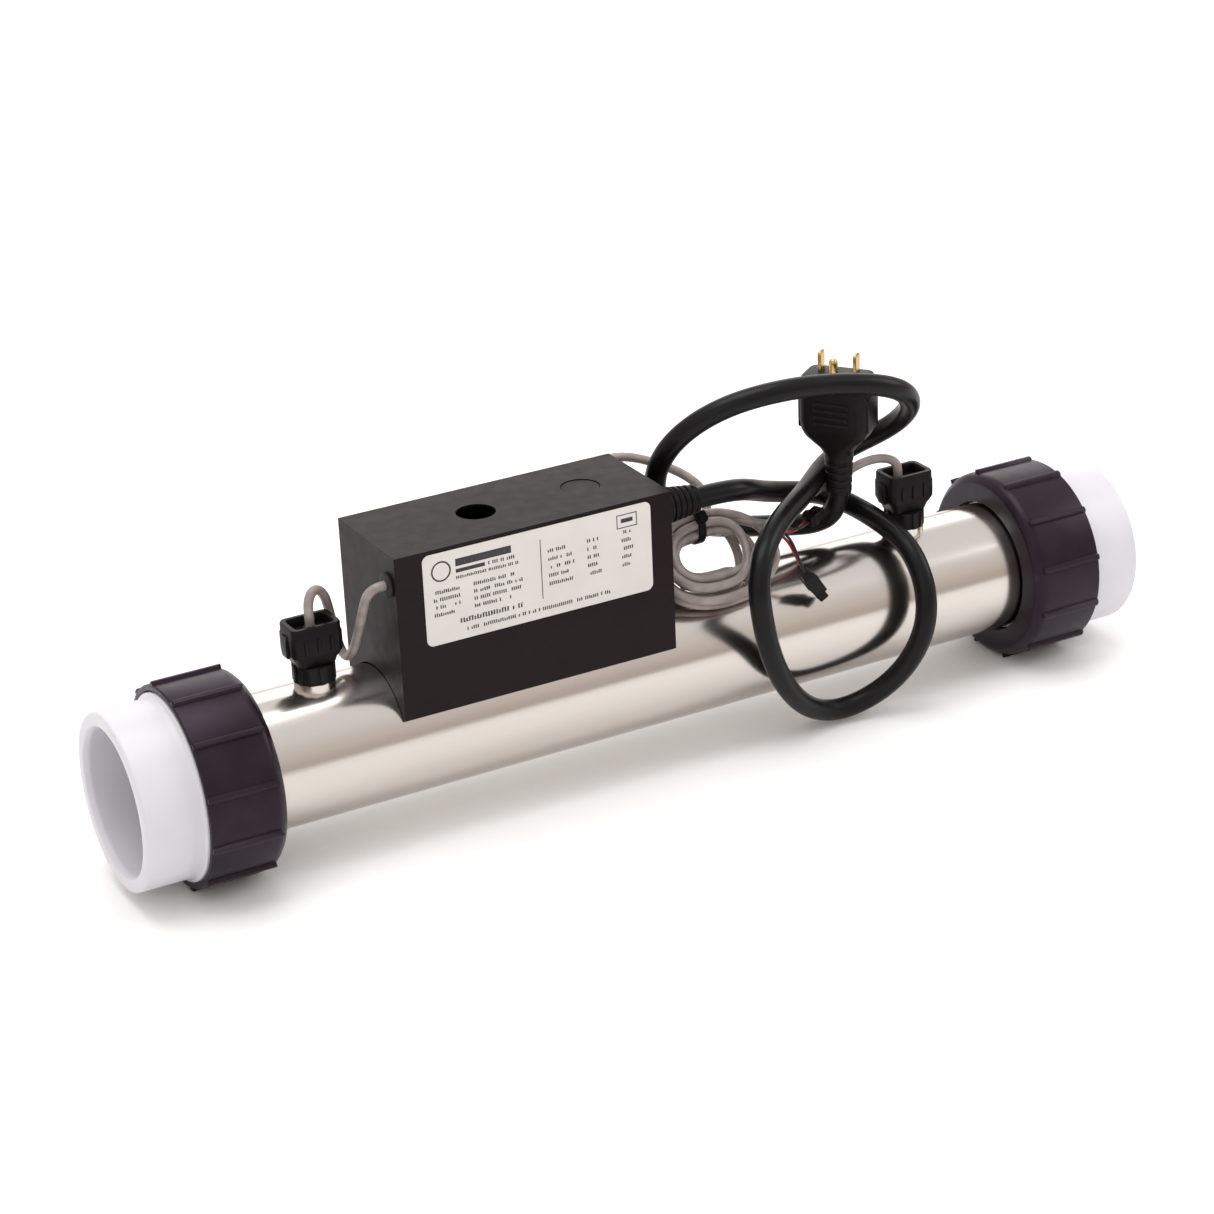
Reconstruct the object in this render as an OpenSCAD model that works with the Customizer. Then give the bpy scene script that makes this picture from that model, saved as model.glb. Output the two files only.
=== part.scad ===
// In-line electric water heater for a spa or a pond.
// Water runs along X through a stainless tube, past a coiled element. A union at each end takes a
// pipe. The electrical box sits on top of the tube, its labelled face towards -Y, and +Z is up.
// The origin is on the ground below the middle of the tube. All sizes are in millimetres.

/* [Tube] */
// Outside diameter of the stainless tube
tube_od = 57.2; // [50:0.1:70]
// Wall of the tube
tube_wall = 1.5; // [1:0.1:2.5]
// Length of the tube, from flange face to flange face
tube_length = 381; // [360:1:480]
// How far the welded end flanges stand out from the tube
flange_rise = 7.4; // [6:0.1:9]
// Thickness of the end flanges
flange_thickness = 6; // [4:0.5:8]

/* [Unions] */
// Bore of the sockets, which take a 2 inch pipe
socket_bore = 60.6; // [48:0.1:64]
// Depth of the sockets
socket_depth = 36; // [24:1:36]
// Wall of the tailpieces round their sockets
tail_wall = 6.7; // [5:0.1:8]
// Length of tailpiece that shows outside its nut
tail_reach = 24.8; // [20:0.1:40]
// Smallest bore of the tailpieces, behind the socket
waterway = 52; // [40:1:52]
// Radial height of the thread on the tailpieces
thread_height = 1.2; // [0.8:0.1:1.6]
// Pitch of the union thread
thread_pitch = 5; // [4:0.5:6]
// Length of the union nuts along the tube
nut_length = 33.4; // [30:0.1:44]
// Thickness of the nut's lip behind the flange
nut_lip = 4.2; // [3:0.1:6]
// Wall of the nut outside the thread
nut_wall = 2.8; // [2.4:0.1:5]
// Number of grip ribs round a nut
rib_count = 12; // [8:2:18]
// Height of a grip rib
rib_height = 1.6; // [1:0.1:2.5]
// Width of a grip rib
rib_width = 3; // [2:0.1:5]
// Cross section of the sealing rings
seal_section = 3.5; // [3:0.1:4]

/* [Box] */
// Length of the box along the tube
box_length = 126; // [110:1:160]
// Depth of the box from front to back
box_depth = 52.5; // [46:0.5:64]
// Height of the box above the top of the tube
box_height = 56.7; // [48:0.1:70]
// Middle of the box along the tube, from the tube's middle
box_place = -58.2; // [-62:0.1:-50]
// Thickness of the box's sheet steel
sheet = 1.2; // [0.8:0.1:2]
// Diameter of the cable hole and of the knockout in the top
knockout_bore = 16.5; // [12:0.1:22]
// Distance from the box's middle to the open cable hole
open_hole_offset = 13.4; // [12:0.1:30]
// Distance from the box's middle to the closed knockout
knockout_offset = 35; // [24:0.1:40]
// Length of the rating label
label_length = 104; // [80:1:108]
// Height of the rating label
label_height = 39.4; // [30:0.1:46]

/* [Element] */
// Diameter of the element's sheath
sheath = 8; // [6:0.5:9]
// Mean radius of the element's coil
coil_radius = 16; // [13:0.5:17]
// Turns in the element's coil
coil_turns = 7; // [4:1:7]
// Distance between the element's two legs
leg_spacing = 66; // [54:1:72]
// Diameter of the threaded fittings on the legs
fitting_thread = 12; // [10:0.5:14]

/* [Sensors] */
// Place of the left sensor along the tube
sensor_left_x = -148; // [-152:1:-144]
// Place of the right sensor along the tube
sensor_right_x = 137; // [130:1:150]
// Length of the sensor plugs along the tube
plug_shell_length = 22.4; // [18:0.1:26]
// Height of a sensor plug's top above the tube
plug_shell_top = 27.7; // [24:0.1:32]

/* [Leads] */
// Diameter of the power cord
cord_od = 9.4; // [7:0.1:11]
// Diameter of the grey sensor lead
lead_od = 4; // [3:0.1:5]
// Width of the power plug
power_plug_width = 31; // [26:0.5:34]
// Thickness of the power plug
power_plug_depth = 18; // [14:0.5:20]

/* [Hidden] */
$fn = 96;

// Clearances, each between two named pieces
turn_gap = 1.1;       // round the tube, inside the nut's lip
lip_gap = 0.3;        // between the nut's lip and the flange
thread_gap = 0.3;     // between the nut's thread and the tailpiece's
face_gap = 0.2;       // between the tailpiece's nose and the flange
saddle_gap = 0.4;     // between the box's sheet and the tube
slug_gap = 0.25;      // round the closed knockout

// Tube and unions, as radii about the tube's axis and stations along it
tube_r = tube_od / 2;
tube_bore_r = tube_r - tube_wall;
flange_r = tube_r + flange_rise;
flange_x = tube_length / 2;
tail_r = socket_bore / 2 + tail_wall;
collar_r = max(tail_r + 2, flange_r + 1);
nut_bore_r = collar_r + thread_gap;
nut_r = nut_bore_r + nut_wall;
rib_r = nut_r + rib_height;
nut_in_x = flange_x - flange_thickness - lip_gap - nut_lip;
nut_out_x = nut_in_x + nut_length;
tail_in_x = flange_x + face_gap;
tail_out_x = nut_out_x + tail_reach;
nut_edge = 3.2;
mouth_chamfer = 0.8;
seal_r = (tube_bore_r + flange_r) / 2;
seal_squeeze = 0.7;
groove_depth = seal_section - seal_squeeze - face_gap;

// The object stands on two ribs of each nut, half a rib step either side of straight down
rib_step = 360 / rib_count;
axis_z = rib_r * cos(rib_step / 2);

// Box, with heights above the tube's axis
box_left = box_place - box_length / 2;
box_right = box_place + box_length / 2;
box_front = -box_depth / 2;
box_top = tube_r + box_height;
inner_half = box_depth / 2 - sheet;
skirt_half = min(inner_half - saddle_gap, tube_r);
box_skirt = sqrt(tube_r * tube_r - skirt_half * skirt_half);
open_hole_x = box_place - open_hole_offset;
knockout_x = box_place + knockout_offset;
knockout_r = knockout_bore / 2;
plate_z = tube_r + 1.4;
plate_sheet = 1.5;
plate_top = plate_z + plate_sheet;
plate_flange = 12;
plate_end_gap = 4;
screw_r = 1.9;
screw_inset = 20;
screw_z = plate_top + plate_flange / 2;
label_sheet = 0.3;
label_corner = 3;
label_drop = 1.8;

// Element, its legs and the fittings that pass through the tube's wall
sheath_r = sheath / 2;
leg_left = box_place - leg_spacing / 2;
leg_right = box_place + leg_spacing / 2;
fitting_r = fitting_thread / 2;
collar_drop = 4.5;
fitting_collar_r = fitting_r + 2.2;
fitting_base = tube_bore_r - collar_drop - 2.6;
element_nut_height = 6;
element_nut_r = fitting_r + 4;
element_nut_top = plate_top + element_nut_height;
fitting_top = element_nut_top + 3;
stud_r = 2;
stud_top = fitting_top + 14;

// Sensors, with heights above the tube's axis
boss_r = 8.5;
boss_top = tube_r + 2.4;
well_r = 5;
probe_r = 3;
probe_depth = 14;
sensor_nut_r = 8.8;
sensor_nut_height = 7.4;
shell_bottom = boss_top + sensor_nut_height;
shell_top = tube_r + plug_shell_top;
shell_depth = 16;
shell_corner = 3;
pocket_depth = 4;
pocket_floor = shell_top - pocket_depth;

// Gland of the power cord on the box's right wall, and the grommet on its left wall
gland_y = -8;
gland_z = 71;
gland_bore_r = 8;
gland_flange_r = 10.5;
gland_flange = 3;
gland_reach = 22;
gland_tip_r = cord_od / 2 + 1.4;
grommet_y = -19;
grommet_z = 72;
grommet_r = 4;
back_grommet_x = -8;
back_grommet_z = 70;

// Power plug, standing upright on its cord and turned about its own axis
plug_foot = [104, 1, 112.2];
plug_turn = -53;
plug_taper = 10;
plug_height = 38;
pin_rise = 9;
pin_spacing = 16;

// The hank of sensor cable: a bundle wound round two ends, leaning back at 45 degrees
hank_place = [33, -6, 84.2];
hank_end_r = 15;
hank_straight = 13;
bundle_r = 6;
wire_pair = 2.6;

// Routes of the cords, in mm over the floor. Each cord follows the smooth curve these points
// pull on; it starts at the first of them and ends at the last
gland_tip = [box_right + gland_reach, gland_y, axis_z + gland_z];
power_route = concat([gland_tip, gland_tip + [12, 0, 0], gland_tip + [24, 0, -1]], [
    [67, 4, 103], [88, 14, 95], [104, 20, 89], [116, 15, 84], [121, -3, 80], [124, -22, 75],
    [124, -36, 62], [122, -41, 44], [116, -37, 26], [106, -30, 12], [89, -24, 4],
    [70, -27, 10], [53, -35, 28], [43, -39, 48], [38, -41, 68], [38, -38, 86], [50, -28, 97],
    [68, -14, 100], [86, -2, 101], [103, 14, 103], [119, 19, 107], [133, 7, 116],
    [136, -10, 131], [122, -24, 147], [101, -22, 153], [80, -20, 156], [60, -19, 157],
    [41, -12, 153], [26, -3, 143], [17, 5, 129], [18, 13, 112], [27, 20, 97], [46, 25, 85],
    [66, 27, 79], [85, 25, 76], [98, 16, 76], [104, 5, 83]
], [plug_foot - [0, 0, 16], plug_foot - [0, 0, 8], plug_foot]);
left_pocket = [sensor_left_x, 0, axis_z + pocket_floor];
left_end = [box_left - 1.4, grommet_y, axis_z + grommet_z];
left_route = concat([left_pocket, left_pocket + [0, 0, 5]], [
    [-148, 1, 106], [-144, 3, 111], [-138, 6, 106], [-135, 10, 95], [-132, 13, 84],
    [-131, 10, 75], [-131, 1, 77], [-131, -7, 89], [-131, -14, 102], [-131, -19, 112]
], [left_end - [4, 0, 0], left_end]);
right_pocket = [sensor_right_x - 3, 0, axis_z + pocket_floor];
right_route = concat([right_pocket, right_pocket + [0, 0, 4]], [
    [134, 1, 103], [129, 4, 105], [121, 7, 104], [113, 9, 100], [104, 9.5, 97],
    [95, 7.5, 95.5], [86, 2, 94.5], [76, -4, 93], [68, -7, 91], [62, -8, 88]
]);
back_end = [back_grommet_x, box_depth / 2 + 1.4, axis_z + back_grommet_z];
control_route = concat([back_end, back_end + [0, 4, 0]], [
    [-6, 36, 115], [1, 38, 119], [9, 35, 122], [18, 30, 122], [28, 25, 118], [37, 22, 113],
    [44, 18, 107], [46, 14, 103], [43.5, 10.5, 100]
]);
pigtail_route = [[42, -25, 70], [46, -25, 75], [51, -22, 83], [56, -18, 89], [61, -15, 92]];
wire_routes = [
    [[62, -16.6, 92.5], [64, -17.6, 92], [66, -20, 88], [67, -23, 82], [69, -26, 75]],
    [[62, -13.6, 92.8], [66, -13, 91], [72, -10, 88], [80, -5, 86], [87, 0, 86]]
];
wire_ends = [[77, -27, 62.5], [95, 3, 88]];

// ---- Helpers -------------------------------------------------------------------------------

// A rod along X about the tube's axis
module rod_x(x0, x1, r) {
    translate([x0, 0, axis_z]) rotate([0, 90, 0]) cylinder(h = x1 - x0, r = r);
}

// A shape turned about the tube's axis, from points of [radius, station along X]
module turned_x(outline) {
    translate([0, 0, axis_z]) rotate([0, 90, 0]) rotate_extrude() polygon(outline);
}

// A post standing up at x, between two heights above the tube's axis
module post(x, z0, z1, r, y = 0) {
    translate([x, y, axis_z + z0]) cylinder(h = z1 - z0, r = r);
}

// A hexagon or other regular prism standing up at x
module prism(x, z0, z1, r, sides, y = 0) {
    translate([x, y, axis_z + z0]) cylinder(h = z1 - z0, r = r, $fn = sides);
}

// A box between two corners, with heights above the tube's axis
module block(low, high) {
    translate([low[0], low[1], axis_z + low[2]]) cube(high - low);
}

// A block with round upright corners
module round_block(low, high, r) {
    for (x = [low[0] + r, high[0] - r], y = [low[1] + r, high[1] - r])
        translate([x, y, axis_z + low[2]]) cylinder(h = high[2] - low[2], r = r, $fn = 48);
    block([low[0] + r, low[1], low[2]], [high[0] - r, high[1], high[2]]);
    block([low[0], low[1] + r, low[2]], [high[0], high[1] - r, high[2]]);
}

// The same part at the left end, which is the right one reflected
module at_end(side) {
    if (side < 0) mirror([1, 0, 0]) children();
    else children();
}

function unit(v) = v / norm(v);

// A point of the smooth curve that four points in a row pull on
function pulled(a, b, c, d, t) =
    (a * pow(1 - t, 3) + b * (3 * t * t * t - 6 * t * t + 4)
     + c * (3 * t + 3 * t * t - 3 * t * t * t + 1) + d * t * t * t) / 6;

// The curve's point at u, where whole numbers of u stand beside the route's own points
function along(p, u) = let (last = len(p) - 1, i = min(floor(u), last - 1))
    pulled(i == 0 ? 2 * p[0] - p[1] : p[i - 1], p[i], p[i + 1],
           i == last - 1 ? 2 * p[last] - p[last - 1] : p[i + 2], u - i);

// A smooth curve along a route, as some stations one after another
function smooth(p, stations) = [
    for (i = [0 : stations]) along(p, i * (len(p) - 1) / stations)
];

// The direction of a route at each of its points
function headings(p) = [
    for (i = [0 : len(p) - 1]) unit(p[min(i + 1, len(p) - 1)] - p[max(i - 1, 0)])
];

// A sideways direction at each point, carried along so that the tube doesn't twist
function square_off(v, t) = unit(v - (v * t) * t);
function sideways(t) = [
    for (i = 0, v = square_off([0.31, 0.17, 0.93], t[0]); i < len(t);
         i = i + 1, v = i < len(t) ? square_off(v, t[i]) : v) v
];

// A plain round tube along a route
module tube_along(p, r, sides) {
    t = headings(p);
    v = sideways(t);
    last = len(p) - 1;
    skin = [
        for (i = [0 : last], k = [0 : sides - 1])
            p[i] + r * (cos(k * 360 / sides) * v[i] + sin(k * 360 / sides) * cross(t[i], v[i]))
    ];
    walls = [
        for (i = [0 : last - 1], k = [0 : sides - 1], half = [0, 1])
            let (a = i * sides + k, b = i * sides + (k + 1) % sides)
            half == 0 ? [a, a + sides, b] : [b, a + sides, b + sides]
    ];
    ends = [
        [for (k = [0 : sides - 1]) k],
        [for (k = [sides - 1 : -1 : 0]) last * sides + k]
    ];
    polyhedron(points = skin, faces = concat(walls, ends), convexity = 10);
}

// ---- Tube ----------------------------------------------------------------------------------

module heater_tube() color("silver") difference() {
    rod_x(-flange_x, flange_x, tube_r);
    rod_x(-flange_x - 1, flange_x + 1, tube_bore_r);
    for (x = [leg_left, leg_right]) post(x, 0, tube_r + 1, fitting_r + 0.2);
    for (x = [sensor_left_x, sensor_right_x]) post(x, 0, tube_r + 1, well_r + 0.2);
}

module tube_flange(side) color("gainsboro") at_end(side) turned_x([
    [tube_r, flange_x - flange_thickness], [flange_r, flange_x - flange_thickness],
    [flange_r, flange_x], [tube_r, flange_x]
]);

// ---- Unions --------------------------------------------------------------------------------

// Steps of a thread's outline between two stations, root to crest, as [radius, station]
function thread_steps(root, crest, x0, x1) = let (count = floor((x1 - x0) / thread_pitch)) [
    for (i = [0 : count - 1], s = [[root, 0], [crest, 0.25], [crest, 0.5], [root, 0.75]])
        [s[0], x0 + (i + s[1]) * thread_pitch]
];

module union_nut(side) color("#1b1719") at_end(side) {
    difference() {
        union() {
            turned_x([
                [0, nut_in_x], [nut_r - nut_edge, nut_in_x],
                [nut_r - nut_edge * 0.3, nut_in_x + nut_edge * 0.3],
                [nut_r, nut_in_x + nut_edge], [nut_r, nut_out_x], [0, nut_out_x]
            ]);
            for (i = [0 : rib_count - 1])
                translate([0, 0, axis_z]) rotate([rib_step * (i + 0.5), 0, 0])
                    grip_rib();
        }
        turned_x(concat(
            [[0, nut_in_x - 1], [tube_r + turn_gap, nut_in_x - 1],
             [tube_r + turn_gap, nut_in_x + nut_lip],
             [flange_r + 0.6, nut_in_x + nut_lip], [flange_r + 0.6, flange_x - 1],
             [nut_bore_r, flange_x - 1]],
            thread_steps(nut_bore_r, nut_bore_r + thread_height, flange_x + 2, nut_out_x - 2),
            [[nut_bore_r, nut_out_x + 1], [0, nut_out_x + 1]]
        ));
    }
}

// A bar along the nut, with a round end on the tube's side, standing on the nut's wall
module grip_rib() {
    start = nut_in_x + nut_edge + rib_width / 2;
    intersection() {
        union() {
            translate([start, -rib_width / 2, nut_r - 1])
                cube([nut_out_x - start, rib_width, rib_height + 1]);
            translate([start, 0, nut_r - 1]) cylinder(h = rib_height + 1, d = rib_width, $fn = 32);
        }
        rotate([0, 90, 0]) cylinder(h = nut_out_x + 1, r = rib_r);
    }
}

module tailpiece(side) color("white") at_end(side) difference() {
    turned_x(concat(
        [[waterway / 2, tail_in_x], [collar_r - thread_height, tail_in_x]],
        thread_steps(collar_r - thread_height, collar_r, tail_in_x + 1, nut_out_x - 4),
        [[collar_r - thread_height, nut_out_x - 3.5], [collar_r, nut_out_x - 2.5],
         [collar_r, nut_out_x + 0.3], [tail_r + 0.8, nut_out_x + 1.2], [tail_r, nut_out_x + 3],
         [tail_r, tail_out_x - 1.2], [tail_r - 1.2, tail_out_x],
         [socket_bore / 2 + mouth_chamfer, tail_out_x],
         [socket_bore / 2, tail_out_x - mouth_chamfer],
         [socket_bore / 2, tail_out_x - socket_depth],
         [waterway / 2, tail_out_x - socket_depth]]
    ));
    turned_x([
        [seal_r - seal_section * 0.6, tail_in_x - 1], [seal_r + seal_section * 0.6, tail_in_x - 1],
        [seal_r + seal_section * 0.6, tail_in_x + groove_depth],
        [seal_r - seal_section * 0.6, tail_in_x + groove_depth]
    ]);
}

// The sealing ring, squeezed flat between its groove and the flange
module o_ring(side) color("#202022") at_end(side) {
    round = (groove_depth + face_gap) / 2 - 0.03;
    half = seal_section * 0.57 - round;
    translate([tail_in_x + groove_depth - round, 0, axis_z]) rotate([0, 90, 0])
        rotate_extrude() translate([seal_r, 0]) {
            for (s = [-1, 1]) translate([s * half, 0]) circle(r = round, $fn = 32);
            square([2 * half, 2 * round], center = true);
        }
}

// ---- Heating element -----------------------------------------------------------------------

coil_pitch = leg_spacing / 2.5;
coil_end = leg_left + coil_turns * coil_pitch;
coil_rings = 12;
leg_bend = 8;

// Down the left leg, along the coil, back along the axis and up the right leg
element_route = [
    for (z = [fitting_top, fitting_base + 2, coil_radius + 2.5]) [leg_left, 0, z],
    for (i = [1 : coil_turns * coil_rings])
        let (turn = i / coil_rings)
        [leg_left + turn * coil_pitch, coil_radius * sin(turn * 360), coil_radius * cos(turn * 360)],
    for (a = [30 : 30 : 150])
        [coil_end + leg_bend * sin(a), leg_bend * sin(a) * 0.4, coil_radius / 2 * (1 + cos(a))],
    for (x = [coil_end - 10, leg_right + leg_bend]) [x, 0, 0],
    for (a = [30, 60]) [leg_right + leg_bend * (1 - sin(a)), 0, leg_bend * (1 - cos(a))],
    for (z = [leg_bend, fitting_base + 2, fitting_top]) [leg_right, 0, z]
];

module heating_element() color("#6f6a63")
    translate([0, 0, axis_z]) tube_along(element_route, sheath_r, 8);

// Threaded bushes brazed to the legs, with a collar inside the tube
module element_fittings() color("#b89a52")
    for (x = [leg_left, leg_right]) difference() {
        union() {
            post(x, fitting_base, fitting_top, fitting_r);
            prism(x, fitting_base, tube_bore_r - collar_drop, fitting_collar_r, 6);
        }
        post(x, fitting_base - 1, fitting_top + 1, sheath_r + 0.05);
    }

// Soft washers between the collars and the tube's curved wall
module element_gaskets() color("#7a2f24")
    for (x = [leg_left, leg_right]) difference() {
        intersection() {
            post(x, tube_bore_r - collar_drop, tube_bore_r + 1, fitting_collar_r);
            rod_x(x - 30, x + 30, tube_bore_r);
        }
        post(x, 0, tube_r, fitting_r);
    }

module element_nuts() color("#b08d3c")
    for (x = [leg_left, leg_right]) difference() {
        prism(x, plate_top, element_nut_top, element_nut_r, 6);
        post(x, plate_top - 1, element_nut_top + 1, fitting_r);
    }

// Insulated studs that stand on the ends of the element's legs
module terminal_studs() color("#c9c4b8")
    for (x = [leg_left, leg_right]) {
        post(x, fitting_top, fitting_top + 3, sheath_r + 1);
        post(x, fitting_top + 3, stud_top, stud_r);
    }

lug_z = fitting_top + 5;
lug_sheet = 1;
lug_r = 4.6;
lug_tail = 9;
stud_nut_height = 3.2;

module terminal_nuts() color("silver")
    for (x = [leg_left, leg_right]) difference() {
        union() {
            prism(x, lug_z + lug_sheet, lug_z + lug_sheet + stud_nut_height, 4, 6);
            prism(x, fitting_top + 3, lug_z, 4, 6);
        }
        post(x, fitting_top, stud_top, stud_r);
    }

// Ring terminals, with a barrel for each wire
module ring_lugs() color("#c7a34a")
    for (x = [leg_left, leg_right]) {
        difference() {
            union() {
                post(x, lug_z, lug_z + lug_sheet, lug_r);
                block([x, -2.5, lug_z], [x + lug_r + 1, 2.5, lug_z + lug_sheet]);
            }
            post(x, lug_z - 1, lug_z + 2, stud_r);
        }
        translate([x + lug_r + 1, 0, axis_z + lug_z + 1.9]) rotate([0, 90, 0])
            cylinder(h = lug_tail - 3, r = 1.9, $fn = 24);
    }

ground_x = box_place + 16;
ground_y = 14;

module ground_stud() color("#c9c4b8") {
    post(ground_x, plate_top, plate_top + 14, stud_r, ground_y);
    difference() {
        prism(ground_x, plate_top, plate_top + 3.2, 4, 6, ground_y);
        post(ground_x, plate_top - 1, plate_top + 5, stud_r, ground_y);
    }
}

// ---- Box -----------------------------------------------------------------------------------

module base_plate() color("#3a3a3c") difference() {
    union() {
        block([box_left + plate_end_gap, -inner_half, plate_z],
              [box_right - plate_end_gap, inner_half, plate_top]);
        for (s = [-1, 1]) {
            y0 = s < 0 ? -inner_half : inner_half - plate_sheet;
            block([box_left + plate_end_gap, y0, plate_z],
                  [box_right - plate_end_gap, y0 + plate_sheet, plate_top + plate_flange]);
        }
        for (x = [leg_left, leg_right]) post(x, tube_r - 4, plate_z + 0.5, fitting_r + 3.5);
    }
    rod_x(box_left, box_right, tube_r);
    for (x = [leg_left, leg_right]) post(x, 0, plate_top + 1, fitting_r + 0.2);
    for (x = [box_left + screw_inset, box_right - screw_inset])
        translate([x, inner_half - plate_sheet - 1, axis_z + screw_z]) rotate([-90, 0, 0])
            cylinder(h = plate_sheet + 2, r = screw_r, $fn = 32);
}

module box_cover() color("#191718") difference() {
    block([box_left, box_front, box_skirt], [box_right, -box_front, box_top]);
    block([box_left + sheet, box_front + sheet, box_skirt - 1],
          [box_right - sheet, -box_front - sheet, box_top - sheet]);
    rod_x(box_left - 1, box_right + 1, tube_r + saddle_gap);
    for (x = [open_hole_x, knockout_x]) post(x, box_top - sheet - 1, box_top + 1, knockout_r);
    translate([box_right - sheet - 1, gland_y, axis_z + gland_z]) rotate([0, 90, 0])
        cylinder(h = sheet + 2, r = gland_bore_r);
    translate([box_left - 1, grommet_y, axis_z + grommet_z]) rotate([0, 90, 0])
        cylinder(h = sheet + 2, r = grommet_r);
    translate([back_grommet_x, -box_front + 1, axis_z + back_grommet_z]) rotate([90, 0, 0])
        cylinder(h = sheet + 2, r = grommet_r);
    for (x = [box_left + screw_inset, box_right - screw_inset])
        translate([x, -box_front - sheet - 1, axis_z + screw_z]) rotate([-90, 0, 0])
            cylinder(h = sheet + 2, r = screw_r + 0.3, $fn = 32);
}

module cover_screws() color("#8d8d90")
    for (x = [box_left + screw_inset, box_right - screw_inset])
        translate([x, 0, axis_z + screw_z]) rotate([-90, 0, 0]) {
            translate([0, 0, inner_half - plate_sheet - 2])
                cylinder(h = sheet + plate_sheet + 2, r = screw_r, $fn = 32);
            difference() {
                translate([0, 0, -box_front]) cylinder(h = 2.4, r = 4, $fn = 48);
                for (turn = [0, 90]) rotate([0, 0, turn])
                    translate([-2.4, -0.5, -box_front + 1]) cube([4.8, 1, 2]);
            }
        }

module rating_label() color("white")
    translate([box_place + 1, box_front, axis_z + box_top - label_drop - label_height / 2])
        rotate([90, 0, 0]) linear_extrude(label_sheet) difference() {
            square([label_length, label_height], center = true);
            for (sx = [-1, 1], sy = [-1, 1])
                translate([sx * label_length / 2, sy * label_height / 2]) difference() {
                    square(2 * label_corner, center = true);
                    translate([-sx * label_corner, -sy * label_corner])
                        circle(r = label_corner, $fn = 48);
                }
        }

// The closed knockout, held by two small bridges
module knockout_slug() color("#191718") {
    post(knockout_x, box_top - sheet, box_top - 0.3, knockout_r - slug_gap);
    for (s = [-1, 1]) intersection() {
        post(knockout_x, box_top - sheet, box_top - 0.3, knockout_r);
        block([knockout_x - 1, s < 0 ? -knockout_r - 1 : knockout_r - 2, box_top - sheet],
              [knockout_x + 1, s < 0 ? -knockout_r + 2 : knockout_r + 1, box_top - 0.3]);
    }
}

// Strain relief of the power cord, through the box's right wall
module cord_gland() color("#111113") translate([box_right, gland_y, axis_z + gland_z])
    rotate([0, 90, 0]) rotate_extrude() polygon([
        [0, -sheet - 6], [gland_bore_r - 0.1, -sheet - 6], [gland_bore_r - 0.1, 0],
        [gland_flange_r, 0], [gland_flange_r, gland_flange], [gland_tip_r + 2, gland_flange + 1],
        [gland_tip_r, gland_reach], [0, gland_reach]
    ]);

module gland_locknut() color("#1d1d20") translate([box_right - sheet, gland_y, axis_z + gland_z])
    rotate([0, -90, 0]) difference() {
        cylinder(h = 4, r = gland_bore_r + 3.4, $fn = 6);
        translate([0, 0, -1]) cylinder(h = 6, r = gland_bore_r - 0.1);
    }

// A rubber ring in a wall, round a lead, standing along X with its outside at the origin
module grommet() rotate([0, 90, 0]) rotate_extrude() polygon([
    [0, -1.4], [grommet_r + 1.2, -1.4], [grommet_r + 1.2, 0], [grommet_r, 0],
    [grommet_r, sheet], [grommet_r + 1.2, sheet], [grommet_r + 1.2, sheet + 1.2],
    [0, sheet + 1.2]
]);

module lead_grommet() color("#141414")
    translate([box_left, grommet_y, axis_z + grommet_z]) grommet();

module lead_grommet_back() color("#141414")
    translate([back_grommet_x, box_depth / 2, axis_z + back_grommet_z])
    rotate([0, 0, -90]) grommet();

// ---- Sensors -------------------------------------------------------------------------------

module sensor_boss(x) color("silver") difference() {
    post(x, tube_r - 3, boss_top, boss_r);
    rod_x(x - 20, x + 20, tube_r);
    post(x, 0, boss_top + 1, well_r);
}

// The probe reaches down into the water, and its thread holds the ribbed nut
module sensor_probe(x) color("#d5d5d2") {
    post(x, tube_bore_r - 2, shell_bottom, well_r);
    post(x, tube_bore_r - probe_depth, tube_bore_r - 2, probe_r);
}

module sensor_nut(x) color("#1a1819") difference() {
    union() {
        post(x, boss_top, shell_bottom, sensor_nut_r - 0.6);
        for (i = [0 : 11]) translate([x, 0, axis_z + boss_top]) rotate([0, 0, i * 30])
            translate([sensor_nut_r - 1.4, -1, 0]) cube([1.4, 2, sensor_nut_height]);
    }
    post(x, boss_top - 1, shell_bottom + 1, well_r);
}

module sensor_plug(x) color("#161415") difference() {
    round_block([x - plug_shell_length / 2, -shell_depth / 2, shell_bottom],
                [x + plug_shell_length / 2, shell_depth / 2, shell_top], shell_corner);
    round_block([x - plug_shell_length / 2 + 3, -shell_depth / 2 + 2.5, pocket_floor],
                [x + plug_shell_length / 2 - 3, shell_depth / 2 - 2.5, shell_top + 1], 2);
}

module internal_wires() color("#b03a2a") {
    for (x = [leg_left, leg_right])
        tube_along(smooth([
            [x + lug_r + lug_tail - 2, 0, axis_z + lug_z + 1.9],
            [x + lug_r + lug_tail + 1, 0, axis_z + lug_z + 1.9],
            [x + lug_r + lug_tail + 4, -2, axis_z + lug_z + 2.2],
            [x + lug_r + lug_tail + 12, -9, axis_z + lug_z + 4],
            [box_right - 30, x < box_place ? -14 : -8, axis_z + gland_z - 4],
            [box_right - 14, gland_y + (x < box_place ? -3 : 2), axis_z + gland_z],
            [box_right - sheet - 6, gland_y + (x < box_place ? -3 : 2), axis_z + gland_z]
        ], 14), 1.4, 8);
}

// ---- Cords ---------------------------------------------------------------------------------

module power_cord() color("#131214") tube_along(smooth(power_route, 54), cord_od / 2, 12);

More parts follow.
